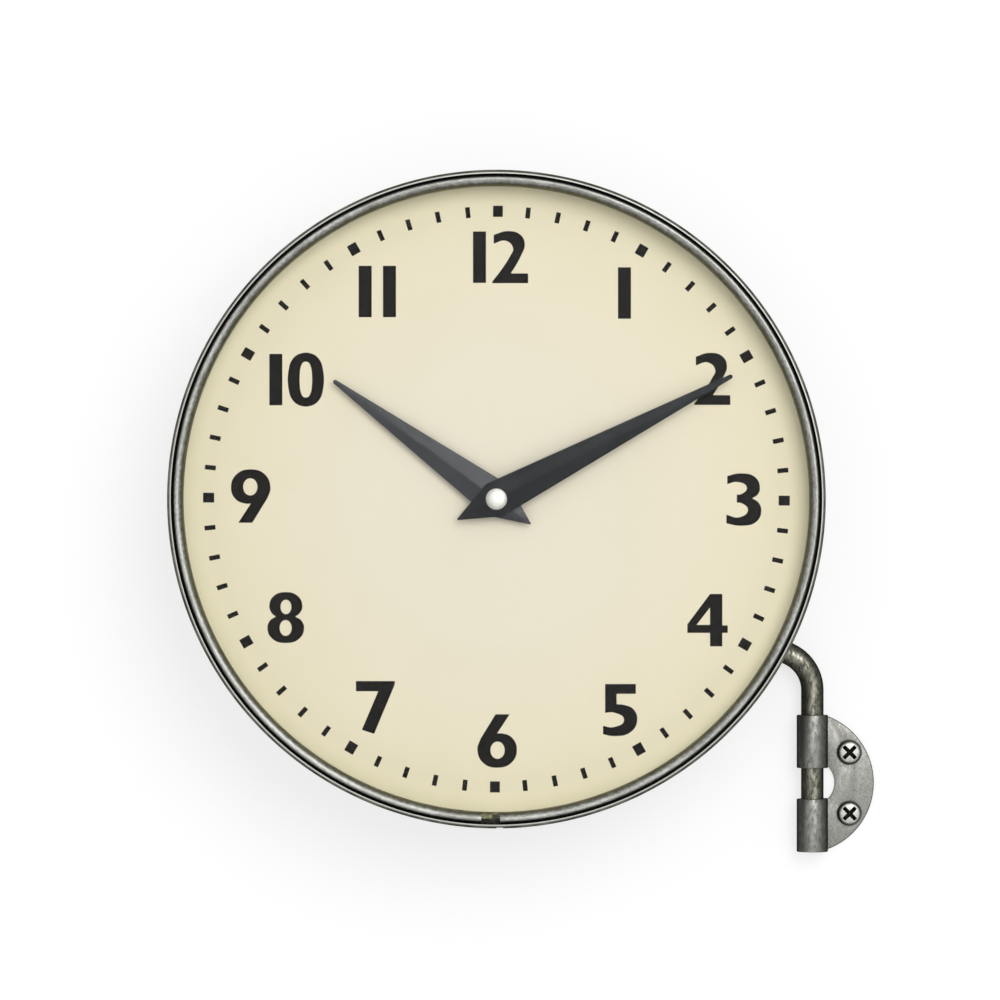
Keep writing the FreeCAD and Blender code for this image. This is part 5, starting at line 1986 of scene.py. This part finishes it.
# ---------------------------------------------------------------- pieces that keep their CAD shape
class KeptPieces:
    """The pieces whose built shape is right, which get their finish here."""

    def on_each_face(self, finishes: Finishes) -> dict[str, bpy.types.Material]:
        """The finish of each piece that both faces have.

        Args:
            finishes: The clock's finishes.

        Returns:
            Each piece's material, by its name on either face.
        """
        return {
            "ledge_ring": finishes.dark_steel, "dial": finishes.enamel,
            "glass": finishes.glass, "movement_tray": finishes.black_plastic,
            "movement_cover": finishes.black_plastic, "circuit_board": finishes.board,
            "drive_unit": finishes.white_plastic, "stator": finishes.dark_steel, "coil": finishes.copper,
            "battery": finishes.cell, "battery_contacts": finishes.plated, "rubber_washer": finishes.rubber,
            "dial_washer": finishes.brass, "dial_nut": finishes.brass, "minute_arbor": finishes.brass,
            "motion_wheel": finishes.white_plastic, "hour_wheel": finishes.white_plastic,
            "setting_knob": finishes.white_plastic,
        }

    def dress(self, finishes: Finishes) -> None:
        """Put the finishes on the nodes.

        Args:
            finishes: The clock's finishes.
        """
        finish_of = {"knuckle_plug": finishes.bracket}
        for side in Side:
            finish_of |= {side.node(name): finish for name, finish in self.on_each_face(finishes).items()}
        for node, finish in finish_of.items():
            for material_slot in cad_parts[node].material_slots:
                material_slot.material = finish
            log.info("%s: %s", node, finish.name)


# ---------------------------------------------------------------- wall, light and camera
@dataclass
class Studio:
    """A plain pale wall, one large soft lamp on each side of the clock, and the camera."""

    wall_gap: float = 0.2 * MM      # behind the bracket's leaf
    wall_size: float = 14.0
    camera_distance: float = 2.5    # from the drum's front lip
    camera_right: float = 1.64 * MM
    camera_down: float = 0.41 * MM
    lens: float = 198.0
    wall_glow: float = 0.70         # of full white, in sight and in reflections
    wall_share: float = 0.33        # of the lamps' light that it returns, with the shadows
    wall_mottle: float = 0.01
    lamp_place: Numbers = (0.75, -2.4, 0.85)
    lamp_size: float = 1.7
    lamp_power: float = 25.0
    sky_level: float = 0.28
    sky_ahead: float = 0.78         # more, before and behind the clock
    sky_above: float = 0.12         # more, overhead
    sight: float = 50.0             # as far as the camera sees

    def wall(self) -> None:
        """The wall: solid from the room, clear from behind it and to the lamp behind it."""
        select_only()
        bpy.ops.mesh.primitive_plane_add(size=self.wall_size, location=(0, 0, 0))
        wall = named("pale_wall")
        upright = Matrix.Rotation(math.radians(90), 4, "X")
        wall.data.transform(Matrix.Translation((CENTRE.x, self.wall_gap, CENTRE.z)) @ upright)
        graph = Graph("pale_wall")
        cloud = graph.noise(graph.place(), 3.0, 2.0)
        tone = graph.fade(cloud, 0.0, 1.0, self.wall_share, self.wall_share + self.wall_mottle)
        grey = graph.add("CombineColor", {0: tone, 1: tone, 2: tone}).outputs[0]
        ray = graph.add("LightPath", {}).outputs
        mirrored = graph.maths("MAXIMUM", ray["Is Glossy Ray"], ray["Is Transmission Ray"])
        seen = graph.maths("MAXIMUM", ray["Is Camera Ray"], mirrored)
        graph.surface(Base_Color=grey, Roughness=0.9, Emission_Color=(1, 1, 1, 1),
                      Emission_Strength=graph.maths("MULTIPLY", seen, self.wall_glow))
        graph.shader.inputs["Specular IOR Level"].default_value = 0.0
        graph.material.cycles.emission_sampling = "NONE"
        away = graph.add("NewGeometry", {}).outputs["Backfacing"]
        lighting = graph.maths("MAXIMUM", ray["Is Shadow Ray"], ray["Is Diffuse Ray"])
        through = graph.maths("MAXIMUM", away, lighting)
        clear = graph.add("BsdfTransparent", {})
        mix = graph.add("MixShader", {0: through, 1: graph.shader.outputs[0], 2: clear.outputs[0]})
        graph.feed(graph.output.inputs["Surface"], mix.outputs[0])
        wall.data.materials.append(graph.material)

    def lamp(self, name: str, way: int) -> None:
        """One soft lamp, above and to the viewer's right of a face.

        Args:
            name: The lamp's name.
            way: 1 for the front face and -1 for the rear one.
        """
        light = bpy.data.lights.new(name, "AREA")
        light.shape = "DISK"
        light.size = self.lamp_size
        light.energy = self.lamp_power
        lamp = bpy.data.objects.new(name, light)
        right, back, up = self.lamp_place
        lamp.location = CENTRE + Vector((way * right, way * back, up))
        lamp.rotation_euler = (CENTRE - lamp.location).to_track_quat("-Z", "Y").to_euler()
        bpy.context.scene.collection.objects.link(lamp)

    def sky(self) -> None:
        """Soft light from all round: most from before and behind, least from the two sides."""
        world = bpy.data.worlds.new("soft_studio")
        bpy.context.scene.world = world
        world.use_nodes = True
        tree = world.node_tree
        coordinates = tree.nodes.new("ShaderNodeTexCoord")
        split = tree.nodes.new("ShaderNodeSeparateXYZ")
        tree.links.new(coordinates.outputs["Generated"], split.inputs[0])

        def step(operation: str, *values: Socket | float) -> Socket:
            """One arithmetic step of the sky.

            Args:
                operation: The step.
                values: Plain values and other steps' results.

            Returns:
                Its result.
            """
            node = tree.nodes.new("ShaderNodeMath")
            node.operation = operation
            for socket, value in zip(node.inputs, values):
                if isinstance(value, Socket):
                    tree.links.new(value, socket)
                else:
                    socket.default_value = value
            return node.outputs[0]

        ahead = step("MULTIPLY", split.outputs["Y"], split.outputs["Y"])
        level = step("MULTIPLY_ADD", ahead, self.sky_ahead, self.sky_level)
        level = step("MULTIPLY_ADD", step("MAXIMUM", split.outputs["Z"], 0.0), self.sky_above, level)
        background = tree.nodes["Background"]
        background.inputs["Color"].default_value = (1, 1, 1, 1)
        tree.links.new(level, background.inputs["Strength"])

    def camera(self) -> None:
        """The camera, square to the front dial."""
        lens = bpy.data.cameras.new("camera")
        lens.lens = self.lens
        lens.clip_end = self.sight
        camera = bpy.data.objects.new("camera", lens)
        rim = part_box("case_band")[0].y
        place = (CENTRE.x + self.camera_right, rim - self.camera_distance, CENTRE.z - self.camera_down)
        camera.location = place
        camera.rotation_euler = (math.radians(90), 0, 0)
        bpy.context.scene.collection.objects.link(camera)
        bpy.context.scene.camera = camera

    def build(self) -> None:
        """Set the stage."""
        self.wall()
        self.lamp("front_lamp", 1)
        self.lamp("rear_lamp", -1)
        self.sky()
        self.camera()
        bpy.context.scene.view_settings.view_transform = "Standard"


def main() -> None:
    """Build the clock, piece by piece, and set it in the studio."""
    logging.basicConfig(level=logging.INFO, format="%(name)s: %(message)s")
    finishes = Finishes()
    drum = Drum()
    drum.build(finishes)
    for side in Side:
        Bezel(side).build(finishes)
        SeatRing(side).build(finishes)
        DialPrint(side).build(finishes)
        HandSet(side).build(finishes)
    SwingArm().build(finishes, drum)
    WallBracket().build(finishes)
    WallScrews().build(finishes)
    KeptPieces().dress(finishes)
    Studio().build()


if __name__ == "__main__":
    main()
